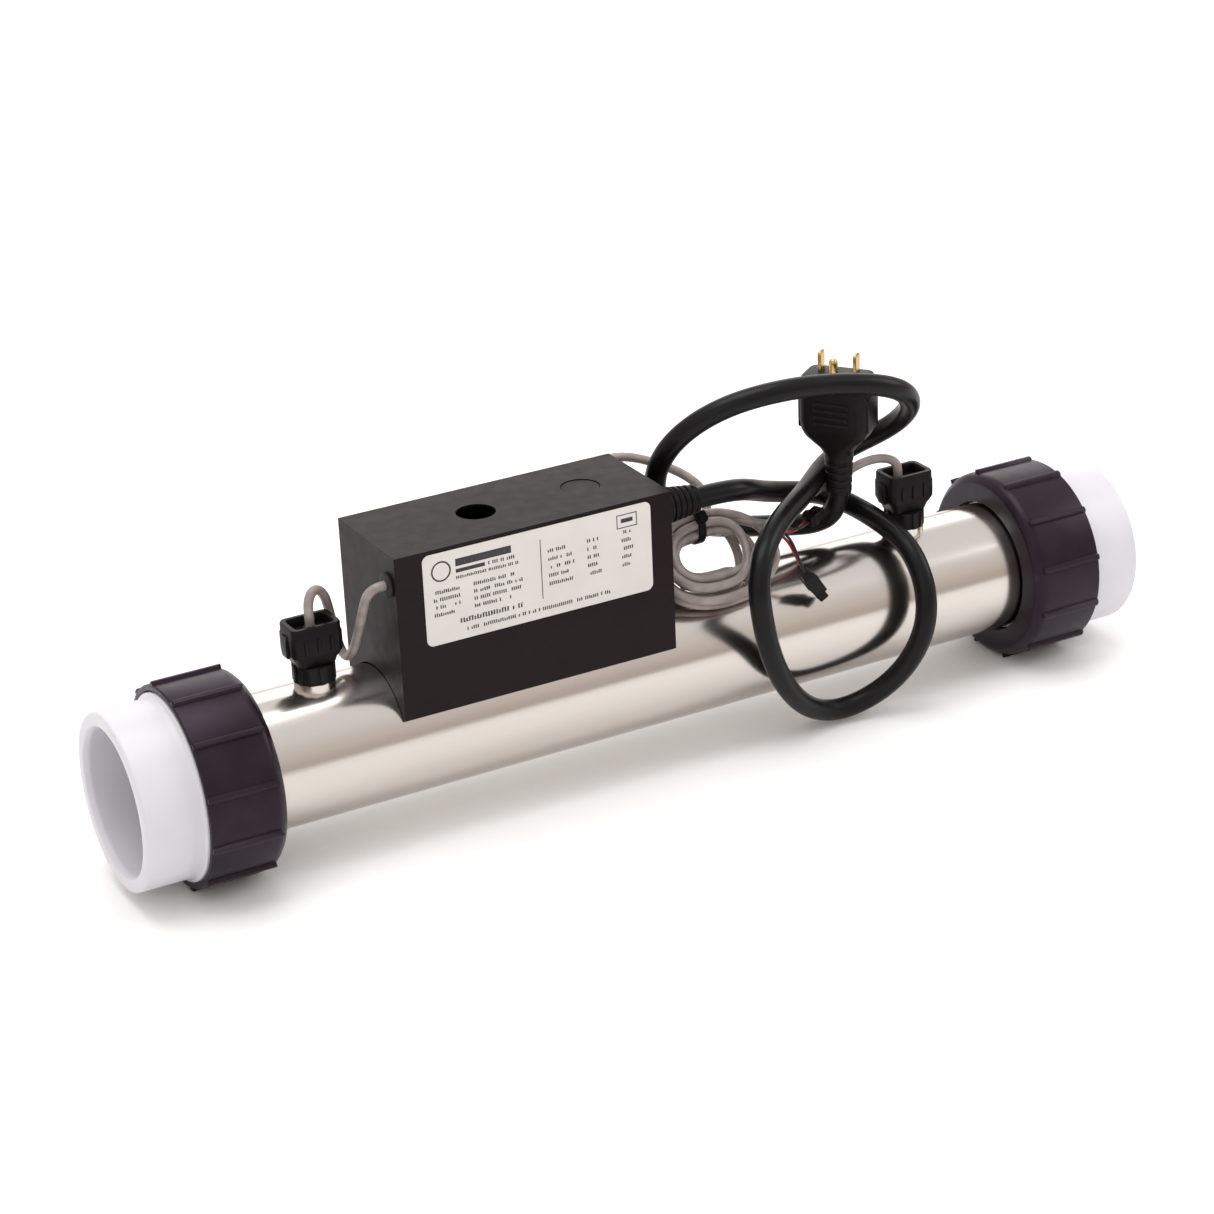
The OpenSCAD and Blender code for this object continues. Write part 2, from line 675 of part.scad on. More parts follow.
// A slice of the plug at some share of its full size, with round upright corners
module plug_slice(z0, z1, share) {
    half = [power_plug_width, power_plug_depth] * share / 2;
    r = 4 * share;
    for (x = [-1, 1], y = [-1, 1]) translate([x * (half[0] - r), y * (half[1] - r), z0])
        cylinder(h = z1 - z0, r = r, $fn = 48);
    translate([-half[0] + r, -half[1], z0]) cube([2 * (half[0] - r), 2 * half[1], z1 - z0]);
    translate([-half[0], -half[1] + r, z0]) cube([2 * half[0], 2 * (half[1] - r), z1 - z0]);
}

module plug_body() color("#151416") translate(plug_foot) rotate([0, 0, plug_turn]) {
    cylinder(h = plug_taper / 2, r = cord_od / 2 + 1);
    plug_slice(plug_taper / 2, plug_taper, 0.8);
    plug_slice(plug_taper, plug_height - 3, 1);
    plug_slice(plug_height - 3, plug_height, 0.92);
}

// Two flat blades at the back and one round pin in front of them
module plug_pins() color("#b5892f") translate(plug_foot + [0, 0, plug_height])
    rotate([0, 0, plug_turn]) {
        for (s = [-1, 1]) translate([s * pin_spacing / 2 - 0.8, -1, 0]) cube([1.6, 5, pin_rise]);
        translate([0, -5.2, 0]) cylinder(h = pin_rise - 1, r = 2);
    }

module sensor_lead_left() color("#8f8580") tube_along(smooth(left_route, 13), lead_od / 2, 8);
module sensor_lead_right() color("#8f8580") tube_along(smooth(right_route, 11), lead_od / 2, 8);
module control_lead() color("#8f8580") tube_along(smooth(control_route, 9), lead_od / 2, 8);
module pigtail_lead() color("#8f8580") tube_along(smooth(pigtail_route, 4), lead_od / 2, 8);

// The hank as one closed bundle of round section
module lead_hank() color("#8f8580") translate(hank_place) rotate([45, 0, 0]) {
    for (s = [0, 180]) rotate([0, 0, s]) translate([hank_straight / 2, 0, 0])
        rotate([0, 0, -90]) rotate_extrude(angle = 180) translate([hank_end_r, 0])
            circle(r = bundle_r);
    for (s = [-1, 1]) translate([-hank_straight / 2, s * hank_end_r, 0]) rotate([0, 90, 0])
        cylinder(h = hank_straight, r = bundle_r);
}

// A band round the bundle's upper straight, with its lock standing up
module hank_tie() color("#0e0e0f") translate(hank_place) rotate([45, 0, 0])
    translate([0, hank_end_r, 0]) rotate([0, 90, 0]) difference() {
        union() {
            translate([0, 0, -1.8]) cylinder(h = 3.6, r = bundle_r + 0.9);
            translate([-bundle_r - 3.4, -2.4, -2]) cube([3.4, 4.8, 4]);
        }
        translate([0, 0, -3]) cylinder(h = 6, r = bundle_r);
    }

module pigtail_wires() color("#a02a26")
    for (p = wire_routes) tube_along(smooth(p, 5), wire_pair / 2, 8);

// A small connector housing on the end of a wire pair, lying along the line to its far end
module lead_connectors() color("#101012") for (i = [0, 1]) {
    foot = wire_routes[i][len(wire_routes[i]) - 1];
    run = wire_ends[i] - foot;
    translate(foot) rotate([0, acos(run[2] / norm(run)), atan2(run[1], run[0])]) {
        translate([-2.4, -3, 0]) cube([4.8, 6, norm(run)]);
        translate([-3.4, -1.2, norm(run) * 0.35]) cube([1, 2.4, norm(run) * 0.5]);
    }
}

heater_tube();
tube_flange(-1);  // tube_flange_left
tube_flange(1);  // tube_flange_right
heating_element();
element_fittings();
element_gaskets();
element_nuts();
terminal_studs();
terminal_nuts();
ring_lugs();
ground_stud();
internal_wires();
base_plate();
box_cover();
cover_screws();
rating_label();
knockout_slug();
cord_gland();
gland_locknut();
lead_grommet();
sensor_boss(sensor_left_x);  // sensor_boss_left
sensor_boss(sensor_right_x);  // sensor_boss_right
sensor_probe(sensor_left_x);  // sensor_probe_left
sensor_probe(sensor_right_x);  // sensor_probe_right
sensor_nut(sensor_left_x);  // sensor_nut_left
sensor_nut(sensor_right_x);  // sensor_nut_right
sensor_plug(sensor_left_x);  // sensor_plug_left
sensor_plug(sensor_right_x);  // sensor_plug_right
union_nut(-1);  // union_nut_left
union_nut(1);  // union_nut_right
tailpiece(-1);  // tailpiece_left
tailpiece(1);  // tailpiece_right
o_ring(-1);  // o_ring_left
o_ring(1);  // o_ring_right
power_cord();
plug_body();
plug_pins();
lead_grommet_back();
sensor_lead_left();
sensor_lead_right();
control_lead();
lead_hank();
hank_tie();
pigtail_lead();
pigtail_wires();
lead_connectors();
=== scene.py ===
# %% [markdown]
# # An in-line water heater, piece by piece
# Water runs straight through a bright steel tube. A screw union closes each end, a sheet steel box on
# top holds the connections, and a thick cord with a moulded plug and a hank of thin sensor cable come
# out beside it. The sizes were settled in the CAD model, so the lesson starts by loading that model as
# a fixed frame. Everything made here is laid on it, in metres, and rides on its bodies.

# %% Load the frame
import math
import random

import bmesh
import bpy
from mathutils import Matrix, Vector


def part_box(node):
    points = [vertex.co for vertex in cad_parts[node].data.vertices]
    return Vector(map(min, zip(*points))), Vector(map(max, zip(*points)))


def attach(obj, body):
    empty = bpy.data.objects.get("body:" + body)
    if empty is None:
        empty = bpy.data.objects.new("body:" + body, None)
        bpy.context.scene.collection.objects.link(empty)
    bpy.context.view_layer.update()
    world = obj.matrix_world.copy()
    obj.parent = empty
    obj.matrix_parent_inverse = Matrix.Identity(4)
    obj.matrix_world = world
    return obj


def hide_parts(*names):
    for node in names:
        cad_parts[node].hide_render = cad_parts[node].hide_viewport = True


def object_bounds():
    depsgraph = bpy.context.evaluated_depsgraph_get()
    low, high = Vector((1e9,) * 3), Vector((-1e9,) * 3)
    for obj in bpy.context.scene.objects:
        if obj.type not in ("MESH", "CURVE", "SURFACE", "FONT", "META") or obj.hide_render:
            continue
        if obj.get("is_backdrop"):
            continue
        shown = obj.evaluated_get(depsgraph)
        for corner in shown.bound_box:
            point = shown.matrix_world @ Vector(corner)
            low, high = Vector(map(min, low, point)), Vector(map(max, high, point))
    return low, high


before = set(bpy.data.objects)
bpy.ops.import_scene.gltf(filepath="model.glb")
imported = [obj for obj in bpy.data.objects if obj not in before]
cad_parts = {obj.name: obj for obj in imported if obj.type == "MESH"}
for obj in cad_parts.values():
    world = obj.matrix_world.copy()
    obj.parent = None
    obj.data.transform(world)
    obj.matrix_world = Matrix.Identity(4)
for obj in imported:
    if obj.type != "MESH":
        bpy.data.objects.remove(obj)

MM = 0.001
cad_low, cad_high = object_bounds()
tube_low, tube_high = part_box("heater_tube")
AXIS_Z = (tube_low.z + tube_high.z) / 2 / MM
TUBE_R = (tube_high.z - tube_low.z) / 2 / MM
print("tube axis", round(AXIS_Z, 2), "mm over the floor, tube radius", round(TUBE_R, 2), "mm")

# %% [markdown]
# ## The camera
# A long lens stands to the left of the label side and looks down on the heater. Three turns set its
# direction: round the upright, down from the level, and a small roll, as with a hand-held camera.

# %% Camera
CAMERA_PLACE = Vector((-587.4, -1078.1, 610.7)) * MM
CAMERA_TURN, CAMERA_DOWN, CAMERA_ROLL = math.radians(28.04), math.radians(23.86), math.radians(-2.58)


def added(name, data):
    """A new object in the scene, at the origin."""
    one = bpy.data.objects.new(name, data)
    bpy.context.scene.collection.objects.link(one)
    return one


camera = added("camera", bpy.data.cameras.new("camera"))
camera.data.sensor_width = 36
camera.data.lens = 93.98
camera.data.clip_end = 60
look = (Matrix.Rotation(-CAMERA_TURN, 4, "Z") @ Matrix.Rotation(math.pi / 2 - CAMERA_DOWN, 4, "X")
        @ Matrix.Rotation(CAMERA_ROLL, 4, "Z"))
camera.matrix_world = Matrix.Translation(CAMERA_PLACE) @ look
bpy.context.scene.camera = camera
print("field of view", round(math.degrees(camera.data.angle), 1), "degrees")

# %% [markdown]
# ## Finishes
# A real surface is never one flat colour. One helper builds every finish from the same layers: a slow
# noise moves the colour a little, another moves the roughness, a fine one gives a bump, and edges can
# be a shade lighter, as handling makes them. Stretching the noise along one direction turns it into the
# fine lines that drawing or brushing leaves. Numbers that are the same everywhere go straight on the
# shader's own sockets.

# %% The finish helper
def finish(name, colour, rough, metallic=0.0, spread=0.15, patch=40.0, grain=900.0, bump=0.05,
           stretch=(1, 1, 1), rough_spread=0.08, edge=0.0, specular=0.3, tint=None, sheen=(1, 1, 1)):
    """A material: colour and roughness that vary in patches, with a fine grain and lighter edges."""
    made = bpy.data.materials.new(name)
    made.use_nodes = True
    nodes, links = made.node_tree.nodes, made.node_tree.links
    shader = nodes["Principled BSDF"]
    shader.inputs["Metallic"].default_value = metallic
    shader.inputs["Specular IOR Level"].default_value = specular
    shader.inputs["Specular Tint"].default_value = (*sheen, 1)
    place = nodes.new("ShaderNodeTexCoord")
    lie = nodes.new("ShaderNodeMapping")
    lie.inputs["Scale"].default_value = stretch
    links.new(place.outputs["Object"], lie.inputs["Vector"])

    def noise(scale, detail):
        made_noise = nodes.new("ShaderNodeTexNoise")
        made_noise.inputs["Scale"].default_value = scale
        made_noise.inputs["Detail"].default_value = detail
        links.new(lie.outputs["Vector"], made_noise.inputs["Vector"])
        return made_noise.outputs["Fac"]

    ramp = nodes.new("ShaderNodeValToRGB")
    dark = [c * (1 - spread) for c in colour]
    light = tint or [min(1, c * (1 + spread)) for c in colour]
    ramp.color_ramp.elements[0].position, ramp.color_ramp.elements[1].position = 0.3, 0.7
    ramp.color_ramp.elements[0].color = (*dark, 1)
    ramp.color_ramp.elements[1].color = (*light, 1)
    links.new(noise(patch, 4), ramp.inputs["Fac"])
    colour_out = ramp.outputs["Color"]
    if edge:
        shape = nodes.new("ShaderNodeNewGeometry")
        pick = nodes.new("ShaderNodeMapRange")
        pick.inputs["From Min"].default_value, pick.inputs["From Max"].default_value = 0.52, 0.62
        pick.inputs["To Max"].default_value = edge
        links.new(shape.outputs["Pointiness"], pick.inputs["Value"])
        worn = nodes.new("ShaderNodeMix")
        worn.data_type = "RGBA"
        worn.inputs["B"].default_value = (*[min(1, c * 1.6 + 0.03) for c in colour], 1)
        links.new(pick.outputs["Result"], worn.inputs["Factor"])
        links.new(colour_out, worn.inputs["A"])
        colour_out = worn.outputs["Result"]
    links.new(colour_out, shader.inputs["Base Color"])
    dull = nodes.new("ShaderNodeMapRange")
    dull.inputs["To Min"].default_value = max(0.02, rough - rough_spread)
    dull.inputs["To Max"].default_value = min(1, rough + rough_spread)
    links.new(noise(patch * 3, 3), dull.inputs["Value"])
    links.new(dull.outputs["Result"], shader.inputs["Roughness"])
    relief = nodes.new("ShaderNodeBump")
    relief.inputs["Strength"].default_value = bump
    relief.inputs["Distance"].default_value = 0.0004
    links.new(noise(grain, 2), relief.inputs["Height"])
    links.new(relief.outputs["Normal"], shader.inputs["Normal"])
    return made


# %% The finishes of this heater
steel = finish("polished_steel", (0.62, 0.57, 0.53), 0.18, 1.0, spread=0.06, patch=25, grain=700,
               bump=0.03, stretch=(0.06, 1, 1), rough_spread=0.06)
weld_steel = finish("weld_steel", (0.55, 0.49, 0.43), 0.3, 1.0, spread=0.25, patch=160, bump=0.2,
                    tint=(0.62, 0.52, 0.4))
probe_steel = finish("probe_steel", (0.6, 0.6, 0.59), 0.28, 1.0, patch=90, stretch=(1, 1, 0.2))
sheath_metal = finish("element_sheath", (0.3, 0.27, 0.25), 0.42, 1.0, spread=0.3, patch=120, bump=0.15)
brass = finish("brass", (0.5, 0.34, 0.14), 0.27, 1.0, spread=0.12, patch=140, bump=0.05, edge=0.5)
zinc = finish("zinc_steel", (0.62, 0.62, 0.63), 0.3, 1.0, spread=0.18, patch=220, bump=0.1, edge=0.4)
nut_plastic = finish("nut_plastic", (0.009, 0.0055, 0.008), 0.34, spread=0.25, patch=60, grain=1500,
                     bump=0.06, edge=0.2, tint=(0.015, 0.009, 0.0135), specular=0.22, sheen=(1, 0.76, 1))
pvc = finish("white_pvc", (0.62, 0.6, 0.64), 0.33, spread=0.02, patch=30, grain=1200, bump=0.03,
             rough_spread=0.05, tint=(0.65, 0.63, 0.67))
powder_coat = finish("black_powder_coat", (0.005, 0.0028, 0.0032), 0.42, spread=0.15, patch=50, grain=2600,
                     bump=0.22, edge=0.2, tint=(0.007, 0.0038, 0.0043), specular=0.1, sheen=(1, 0.75, 0.78))
inner_sheet = finish("inner_sheet", (0.1, 0.1, 0.105), 0.45, 0.3, patch=80)
label_paper = finish("label_paper", (0.64, 0.61, 0.59), 0.38, spread=0.02, patch=60, bump=0.02,
                     tint=(0.67, 0.64, 0.62))
label_ink = finish("label_ink", (0.035, 0.033, 0.035), 0.5, spread=0.3, patch=900, bump=0.02)
plug_plastic = finish("plug_plastic", (0.006, 0.0045, 0.0052), 0.38, spread=0.2, patch=90, grain=1800,
                      bump=0.1, edge=0.2, specular=0.12)
rubber = finish("black_rubber", (0.02, 0.02, 0.02), 0.6, patch=100, bump=0.1)
red_rubber = finish("red_rubber", (0.35, 0.07, 0.045), 0.6, patch=100, bump=0.1)
jacket = finish("cord_jacket", (0.0045, 0.004, 0.0048), 0.32, spread=0.25, patch=45, grain=1300,
                bump=0.08, rough_spread=0.1, specular=0.18)
grey_jacket = finish("grey_jacket", (0.27, 0.225, 0.215), 0.36, spread=0.18, patch=120, grain=1500,
                     bump=0.05, tint=(0.38, 0.32, 0.305), specular=0.5)
wire_red = finish("wire_red", (0.42, 0.02, 0.025), 0.35, spread=0.2, patch=300)
wire_black = finish("wire_black", (0.02, 0.018, 0.02), 0.35, spread=0.2, patch=300)
print(len(bpy.data.materials), "finishes")

# %% [markdown]
# ## Small helpers for shapes
# Every piece ends the same way: its mesh holds its place, its faces point outwards, curved faces shade
# smoothly while real edges stay sharp, and it rides on a body and takes its materials.

# %% Finishing a piece
MERGE = 0.002 * MM


def settle(name, mesh, materials, body, stands_for=(), sharp=35):
    """A finished piece from a mesh: materials, smooth shading, its body and what it replaces."""
    piece = added(name, mesh)
    mesh.materials.clear()
    for one in materials if isinstance(materials, (list, tuple)) else [materials]:
        mesh.materials.append(one)
    mesh.shade_smooth()
    mesh.set_sharp_from_angle(angle=math.radians(sharp))
    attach(piece, body)
    if stands_for:
        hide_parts(*([stands_for] if isinstance(stands_for, str) else stands_for))
    return piece


def faced_out(mesh, merge=False):
    """The same mesh with its faces outwards, after its doubles are merged where that is asked."""
    work = bmesh.new()
    work.from_mesh(mesh)
    if merge:
        bmesh.ops.remove_doubles(work, verts=work.verts, dist=MERGE)
    bmesh.ops.recalc_face_normals(work, faces=work.faces)
    work.to_mesh(mesh)
    work.free()
    return mesh


def mesh_from(name, points, faces):
    """A mesh from points in millimetres."""
    mesh = bpy.data.meshes.new(name)
    mesh.from_pydata([Vector(p) * MM for p in points], [], faces)
    return faced_out(mesh, merge=True)


def joined(name, meshes):
    """Several meshes as one."""
    work = bmesh.new()
    for mesh in meshes:
        work.from_mesh(mesh)
    result = bpy.data.meshes.new(name)
    work.to_mesh(result)
    work.free()
    return result


# %% [markdown]
# ## Turned, lofted and softened shapes
# Moulded rings and fittings are turned: an outline goes round an axis, and each corner of the outline
# gets its own small radius, as a mould has. Housings are lofted from rounded rectangles, one over
# another. Where the CAD shape is right and only its edges are too crisp, a copy of it gets a bevel.

# %% Turning
def eased(outline, steps=4):
    """A closed outline of [radius, station, corner radius] with every corner rounded off."""
    result = []
    count = len(outline)
    for i, (r, x, ease) in enumerate(outline):
        here = Vector((r, x))
        if not ease:
            result.append(here)
            continue
        before = Vector(outline[i - 1][:2]) - here
        after = Vector(outline[(i + 1) % count][:2]) - here
        reach = min(ease, before.length * 0.49, after.length * 0.49)
        start, end = here + before.normalized() * reach, here + after.normalized() * reach
        for k in range(steps + 1):
            t = k / steps
            result.append(start * (1 - t) ** 2 + here * 2 * t * (1 - t) + end * t * t)
    return result


def turned(name, outline, place=Matrix.Identity(4), around=128):
    """A closed outline of [radius, station, corner radius] turned about X, then put in place."""
    ring = eased(outline)
    points, faces = [], []
    for k in range(around):
        a = 2 * math.pi * k / around
        points += [place @ Vector((p[1], p[0] * math.cos(a), p[0] * math.sin(a))) for p in ring]
    n = len(ring)
    for k in range(around):
        for i in range(n):
            j, m = (i + 1) % n, (k + 1) % around
            faces.append((k * n + i, k * n + j, m * n + j, m * n + i))
    return mesh_from(name, points, faces)


ON_AXIS = Matrix.Translation((0, 0, AXIS_Z))
FLIP_X = Matrix.Scale(-1, 4, (1, 0, 0))


def at_end(side):
    """Places a shape at the right end, or reflected at the left end."""
    return ON_AXIS if side > 0 else ON_AXIS @ FLIP_X


# %% Lofting and softening
def rounded_ring(width, depth, corner, z, per_corner=8):
    """The points of a rounded rectangle at a height."""
    corner = min(corner, width / 2, depth / 2)
    ring = []
    for sx, sy, start in ((1, 1, 0), (-1, 1, 90), (-1, -1, 180), (1, -1, 270)):
        for k in range(per_corner + 1):
            a = math.radians(start + 90 * k / per_corner)
            ring.append(Vector((sx * (width / 2 - corner) + corner * math.cos(a),
                                sy * (depth / 2 - corner) + corner * math.sin(a), z)))
    return ring


def lofted(name, slices, place=Matrix.Identity(4)):
    """A closed skin over [width, depth, corner, height] slices, with both ends capped."""
    rings = [rounded_ring(*s) for s in slices]
    n = len(rings[0])
    points = [place @ p for ring in rings for p in ring]
    faces = [(i * n + k, i * n + (k + 1) % n, (i + 1) * n + (k + 1) % n, (i + 1) * n + k)
             for i in range(len(rings) - 1) for k in range(n)]
    last = (len(rings) - 1) * n
    faces += [tuple(range(n - 1, -1, -1)), tuple(range(last, last + n))]
    return mesh_from(name, points, faces)


def plain(mesh_object):
    """The evaluated object as a plain mesh, with the object removed."""
    evaluated = mesh_object.evaluated_get(bpy.context.evaluated_depsgraph_get())
    mesh = bpy.data.meshes.new_from_object(evaluated)
    bpy.data.objects.remove(mesh_object)
    return mesh


def softened(node, width, segments=2):
    """A copy of a CAD node's mesh with its sharp edges bevelled."""
    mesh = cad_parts[node].data.copy()
    work = bmesh.new()
    work.from_mesh(mesh)
    bmesh.ops.remove_doubles(work, verts=work.verts, dist=MERGE)
    bmesh.ops.dissolve_limit(work, angle_limit=math.radians(1), verts=work.verts, edges=work.edges)
    work.to_mesh(mesh)
    work.free()
    blank = added("blank", mesh)
    bevel = blank.modifiers.new("bevel", "BEVEL")
    bevel.width, bevel.segments = width * MM, segments
    bevel.limit_method, bevel.angle_limit = "ANGLE", math.radians(30)
    return plain(blank)


# %% [markdown]
# ## The cords: one smooth curve each
# A cord takes the curve that its stiffness allows, with no kinks. A cubic B-spline bends the same way:
# it is pulled towards a list of points and never turns sharply between them. The points are the ones
# that the CAD solids follow, here in millimetres over the floor. Sweeping a circle along the curve, with
# a sideways direction that is carried along, gives a tube that doesn't twist.

# %% The curve and the swept tube
def smooth_route(points, steps=8):
    """Points along the B-spline that starts at the first point and ends at the last."""
    p = [Vector(q) for q in points]
    p = [2 * p[0] - p[1], *p, 2 * p[-1] - p[-2]]
    route = []
    for i in range(1, len(p) - 2):
        a, b, c, d = p[i - 1:i + 3]
        for s in range(steps):
            t = s / steps
            route.append((a * (1 - t) ** 3 + b * (3 * t ** 3 - 6 * t * t + 4)
                          + c * (3 * t + 3 * t * t - 3 * t ** 3 + 1) + d * t ** 3) / 6)
    return route + [p[-2]]


def run_length(route):
    return sum((b - a).length for a, b in zip(route, route[1:]))


def swept(name, route, radius, sides=20, aside=0.0, twist=0.0):
    """A round tube along a route; aside moves it off the route, and twist winds it round, in radians."""
    across = None
    points, faces = [], []
    last = len(route) - 1
    for i, here in enumerate(route):
        ahead = (route[min(i + 1, last)] - route[max(i - 1, 0)]).normalized()
        if across is None:
            across = ahead.orthogonal()
        across = (across - ahead * across.dot(ahead)).normalized()
        up = ahead.cross(across)
        wind = twist * i / last
        centre = here + (across * math.cos(wind) + up * math.sin(wind)) * aside
        for k in range(sides):
            a = 2 * math.pi * k / sides
            points.append(centre + (across * math.cos(a) + up * math.sin(a)) * radius)
    for i in range(last):
        for k in range(sides):
            m = (k + 1) % sides
            faces.append((i * sides + k, i * sides + m, (i + 1) * sides + m, (i + 1) * sides + k))
    faces += [tuple(range(sides - 1, -1, -1)), tuple(range(last * sides, (last + 1) * sides))]
    return mesh_from(name, points, faces)


# %% Routes of the cords
GLAND_TIP = Vector((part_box("cord_gland")[1].x / MM, -8, AXIS_Z + 71))
PLUG_FOOT = Vector((104, 1, 112.2))
power_points = [
    GLAND_TIP, GLAND_TIP + Vector((12, 0, 0)), GLAND_TIP + Vector((24, 0, -1)),
    (67, 4, 103), (88, 14, 95), (104, 20, 89), (116, 15, 84), (121, -3, 80), (124, -22, 75),
    (124, -36, 62), (122, -41, 44), (116, -37, 26), (106, -30, 12), (89, -24, 4),
    (70, -27, 10), (53, -35, 28), (43, -39, 48), (38, -41, 68), (38, -38, 86), (50, -28, 97),
    (68, -14, 100), (86, -2, 101), (103, 14, 103), (119, 19, 107), (133, 7, 116),
    (136, -10, 131), (122, -24, 147), (101, -22, 153), (80, -20, 156), (60, -19, 157),
    (41, -12, 153), (26, -3, 143), (17, 5, 129), (18, 13, 112), (27, 20, 97), (46, 25, 85),
    (66, 27, 79), (85, 25, 76), (98, 16, 76), (104, 5, 83),
    PLUG_FOOT - Vector((0, 0, 16)), PLUG_FOOT - Vector((0, 0, 8)), PLUG_FOOT,
]
power_route = smooth_route(power_points, 10)
print("power cord", round(run_length(power_route)), "mm long")

# %% [markdown]
# ## The power cord, its gland and its plug
# A mains lead has a thick rubbery jacket with a soft sheen. Where it leaves the box a tapered gland keeps
# it from folding, and at the far end the plug is moulded straight on it, with a short ribbed neck. The
# neck and gland are turned shapes, and the plug is a loft that swells from the round cord to a flat body.

# %% Gland and neck
def upright(at):
    """Turns a shape made along X to stand along Z at a place."""
    return Matrix.Translation(at) @ Matrix.Rotation(-math.pi / 2, 4, "Y")


CORD_R, HOLD_R = 4.7, 4.75
box_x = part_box("box_cover")[1].x / MM
gland_at = Matrix.Translation((box_x, GLAND_TIP.y, GLAND_TIP.z))
gland_outline = [(HOLD_R, -7.2, 0.3), (7.9, -7.2, 0.5), (7.9, 0, 0), (10.5, 0, 0.3), (10.5, 2.6, 0.7),
                 (8.6, 3.4, 0.6), (8.2, 5.0, 0.3)]
for k in range(5):
    r = 8.0 - 0.35 * k
    x = 6.0 + 2.8 * k
    gland_outline += [(r, x, 0.3), (r - 0.1, x + 1.6, 0.3), (r - 1.0, x + 1.8, 0.2),
                      (r - 1.0, x + 2.6, 0.2)]
gland_outline += [(6.2, 20.6, 0.4), (6.0, 22, 0.6), (HOLD_R, 22, 0.2)]
gland = settle("cord_gland_piece", turned("gland", gland_outline, gland_at, 64), plug_plastic, "heater",
               "cord_gland")

neck_outline = [(HOLD_R, -17, 0.2), (5.3, -17, 0.3)]
for k in range(4):
    r = 5.6 + 0.2 * k
    x = -15.5 + 3.4 * k
    neck_outline += [(r, x, 0.3), (r, x + 2.1, 0.3), (r - 0.5, x + 2.3, 0.2), (r - 0.5, x + 3.1, 0.2)]
neck_outline += [(6.4, -1.6, 0.4), (6.4, 1.5, 0.2), (HOLD_R, 1.5, 0.1)]
neck = settle("plug_neck", turned("neck", neck_outline, upright(PLUG_FOOT), 48), plug_plastic, "heater")

# %% Plug and pins
plug_at = Matrix.Translation(PLUG_FOOT) @ Matrix.Rotation(math.radians(-53), 4, "Z")
plug_mesh = lofted("plug", [
    (12, 12, 6, 0.2), (13.4, 12.6, 6, 2.5), (16.5, 13.6, 5.5, 5), (22, 15.4, 5, 7.8), (27.2, 17, 4.6, 10.6),
    (30, 17.8, 4.2, 13.6), (31, 18, 4, 17), (31, 18, 4, 31), (30.6, 17.8, 4, 32.4), (28.6, 16.6, 3.6, 33.2),
    (28.6, 16.6, 3.6, 34.2), (29.4, 17.2, 3.8, 34.8), (29.2, 17, 3.8, 37), (28.2, 16, 3.4, 37.8),
    (26.6, 14.6, 3, 38)], plug_at)
grips = [lofted("grip", [(1.3, 12, 0.5, 14), (1.6, 13, 0.5, 14.6), (1.6, 13, 0.5, 29),
                         (1.3, 12, 0.5, 29.6)], plug_at @ Matrix.Translation((s * 15.2, 0, 0)))
         for s in (-1, 1)]
ridges = [lofted("ridge", [(15, 1.0, 0.4, 16 + 3 * k), (15.4, 1.4, 0.4, 16.3 + 3 * k),
                           (15.4, 1.4, 0.4, 17.5 + 3 * k), (15, 1.0, 0.4, 17.8 + 3 * k)],
                 plug_at @ Matrix.Translation((0, s * 9, 0))) for s in (-1, 1) for k in range(4)]
plug = settle("plug_body_piece", joined("plug", [plug_mesh, *grips, *ridges]), plug_plastic, "heater",
              "plug_body")

blades = [lofted("blade", [(1.6, 5, 0.3, 36), (1.6, 5, 0.3, 45.6), (1.2, 4.2, 0.3, 46.6),
                           (0.6, 3, 0.2, 47)], plug_at @ Matrix.Translation((s * 8, 1.5, 0)))
          for s in (-1, 1)]
round_pin = turned("pin", [(0.01, -2, 0), (2, -2, 0), (2, 6.6, 1.2), (1.2, 8, 0.8), (0.01, 8, 0)],
                   plug_at @ upright((0, -5.2, 38)), 32)
pins = settle("plug_pins_piece", joined("pins", [*blades, round_pin]), brass, "heater",
              "plug_pins")

# %% Power cord
power_cord = settle("power_cord_piece", swept("power", power_route, CORD_R, 28), jacket, "heater",
                    "power_cord")
print("plug stands", round(pins.data.vertices[0].co.z / MM), "mm over the floor")

# %% [markdown]
# ## The sensor cables and their hank
# Two thin grey cables, one from the right-hand sensor and one from the back of the box, are wound
# together into a small hank and come out of it side by side. In the hank a cable keeps one place of a
# ring of seven strands and moves on by one place each time round, which is what winding by hand
# does. So each cable is still one long curve, and its whole length is there to be measured.

# %% Winding the hank
LEAD_R = 2.0
HANK_PLACE = Vector((33, -6, 84.2))
ALONG, BACK = Vector((1, 0, 0)), Vector((0, math.sqrt(0.5), math.sqrt(0.5)))
OUT = ALONG.cross(BACK)
END_R, STRAIGHT = 15.0, 13.0


def racetrack(s, grow):
    """A point of the hank's round, at share s of a round from the middle of its upper straight."""
    r = END_R + grow
    arc = math.pi * END_R
    d = (s % 1) * (2 * STRAIGHT + 2 * arc)
    if d < STRAIGHT / 2:
        return Vector((-d, r))
    d -= STRAIGHT / 2
    if d < arc:
        a = math.pi / 2 + d / END_R
        return Vector((-STRAIGHT / 2 + r * math.cos(a), r * math.sin(a)))
    d -= arc
    if d < STRAIGHT:
        return Vector((-STRAIGHT / 2 + d, -r))
    d -= STRAIGHT
    if d < arc:
        a = -math.pi / 2 + d / END_R
        return Vector((STRAIGHT / 2 + r * math.cos(a), r * math.sin(a)))
    return Vector((STRAIGHT / 2 - (d - arc), r))


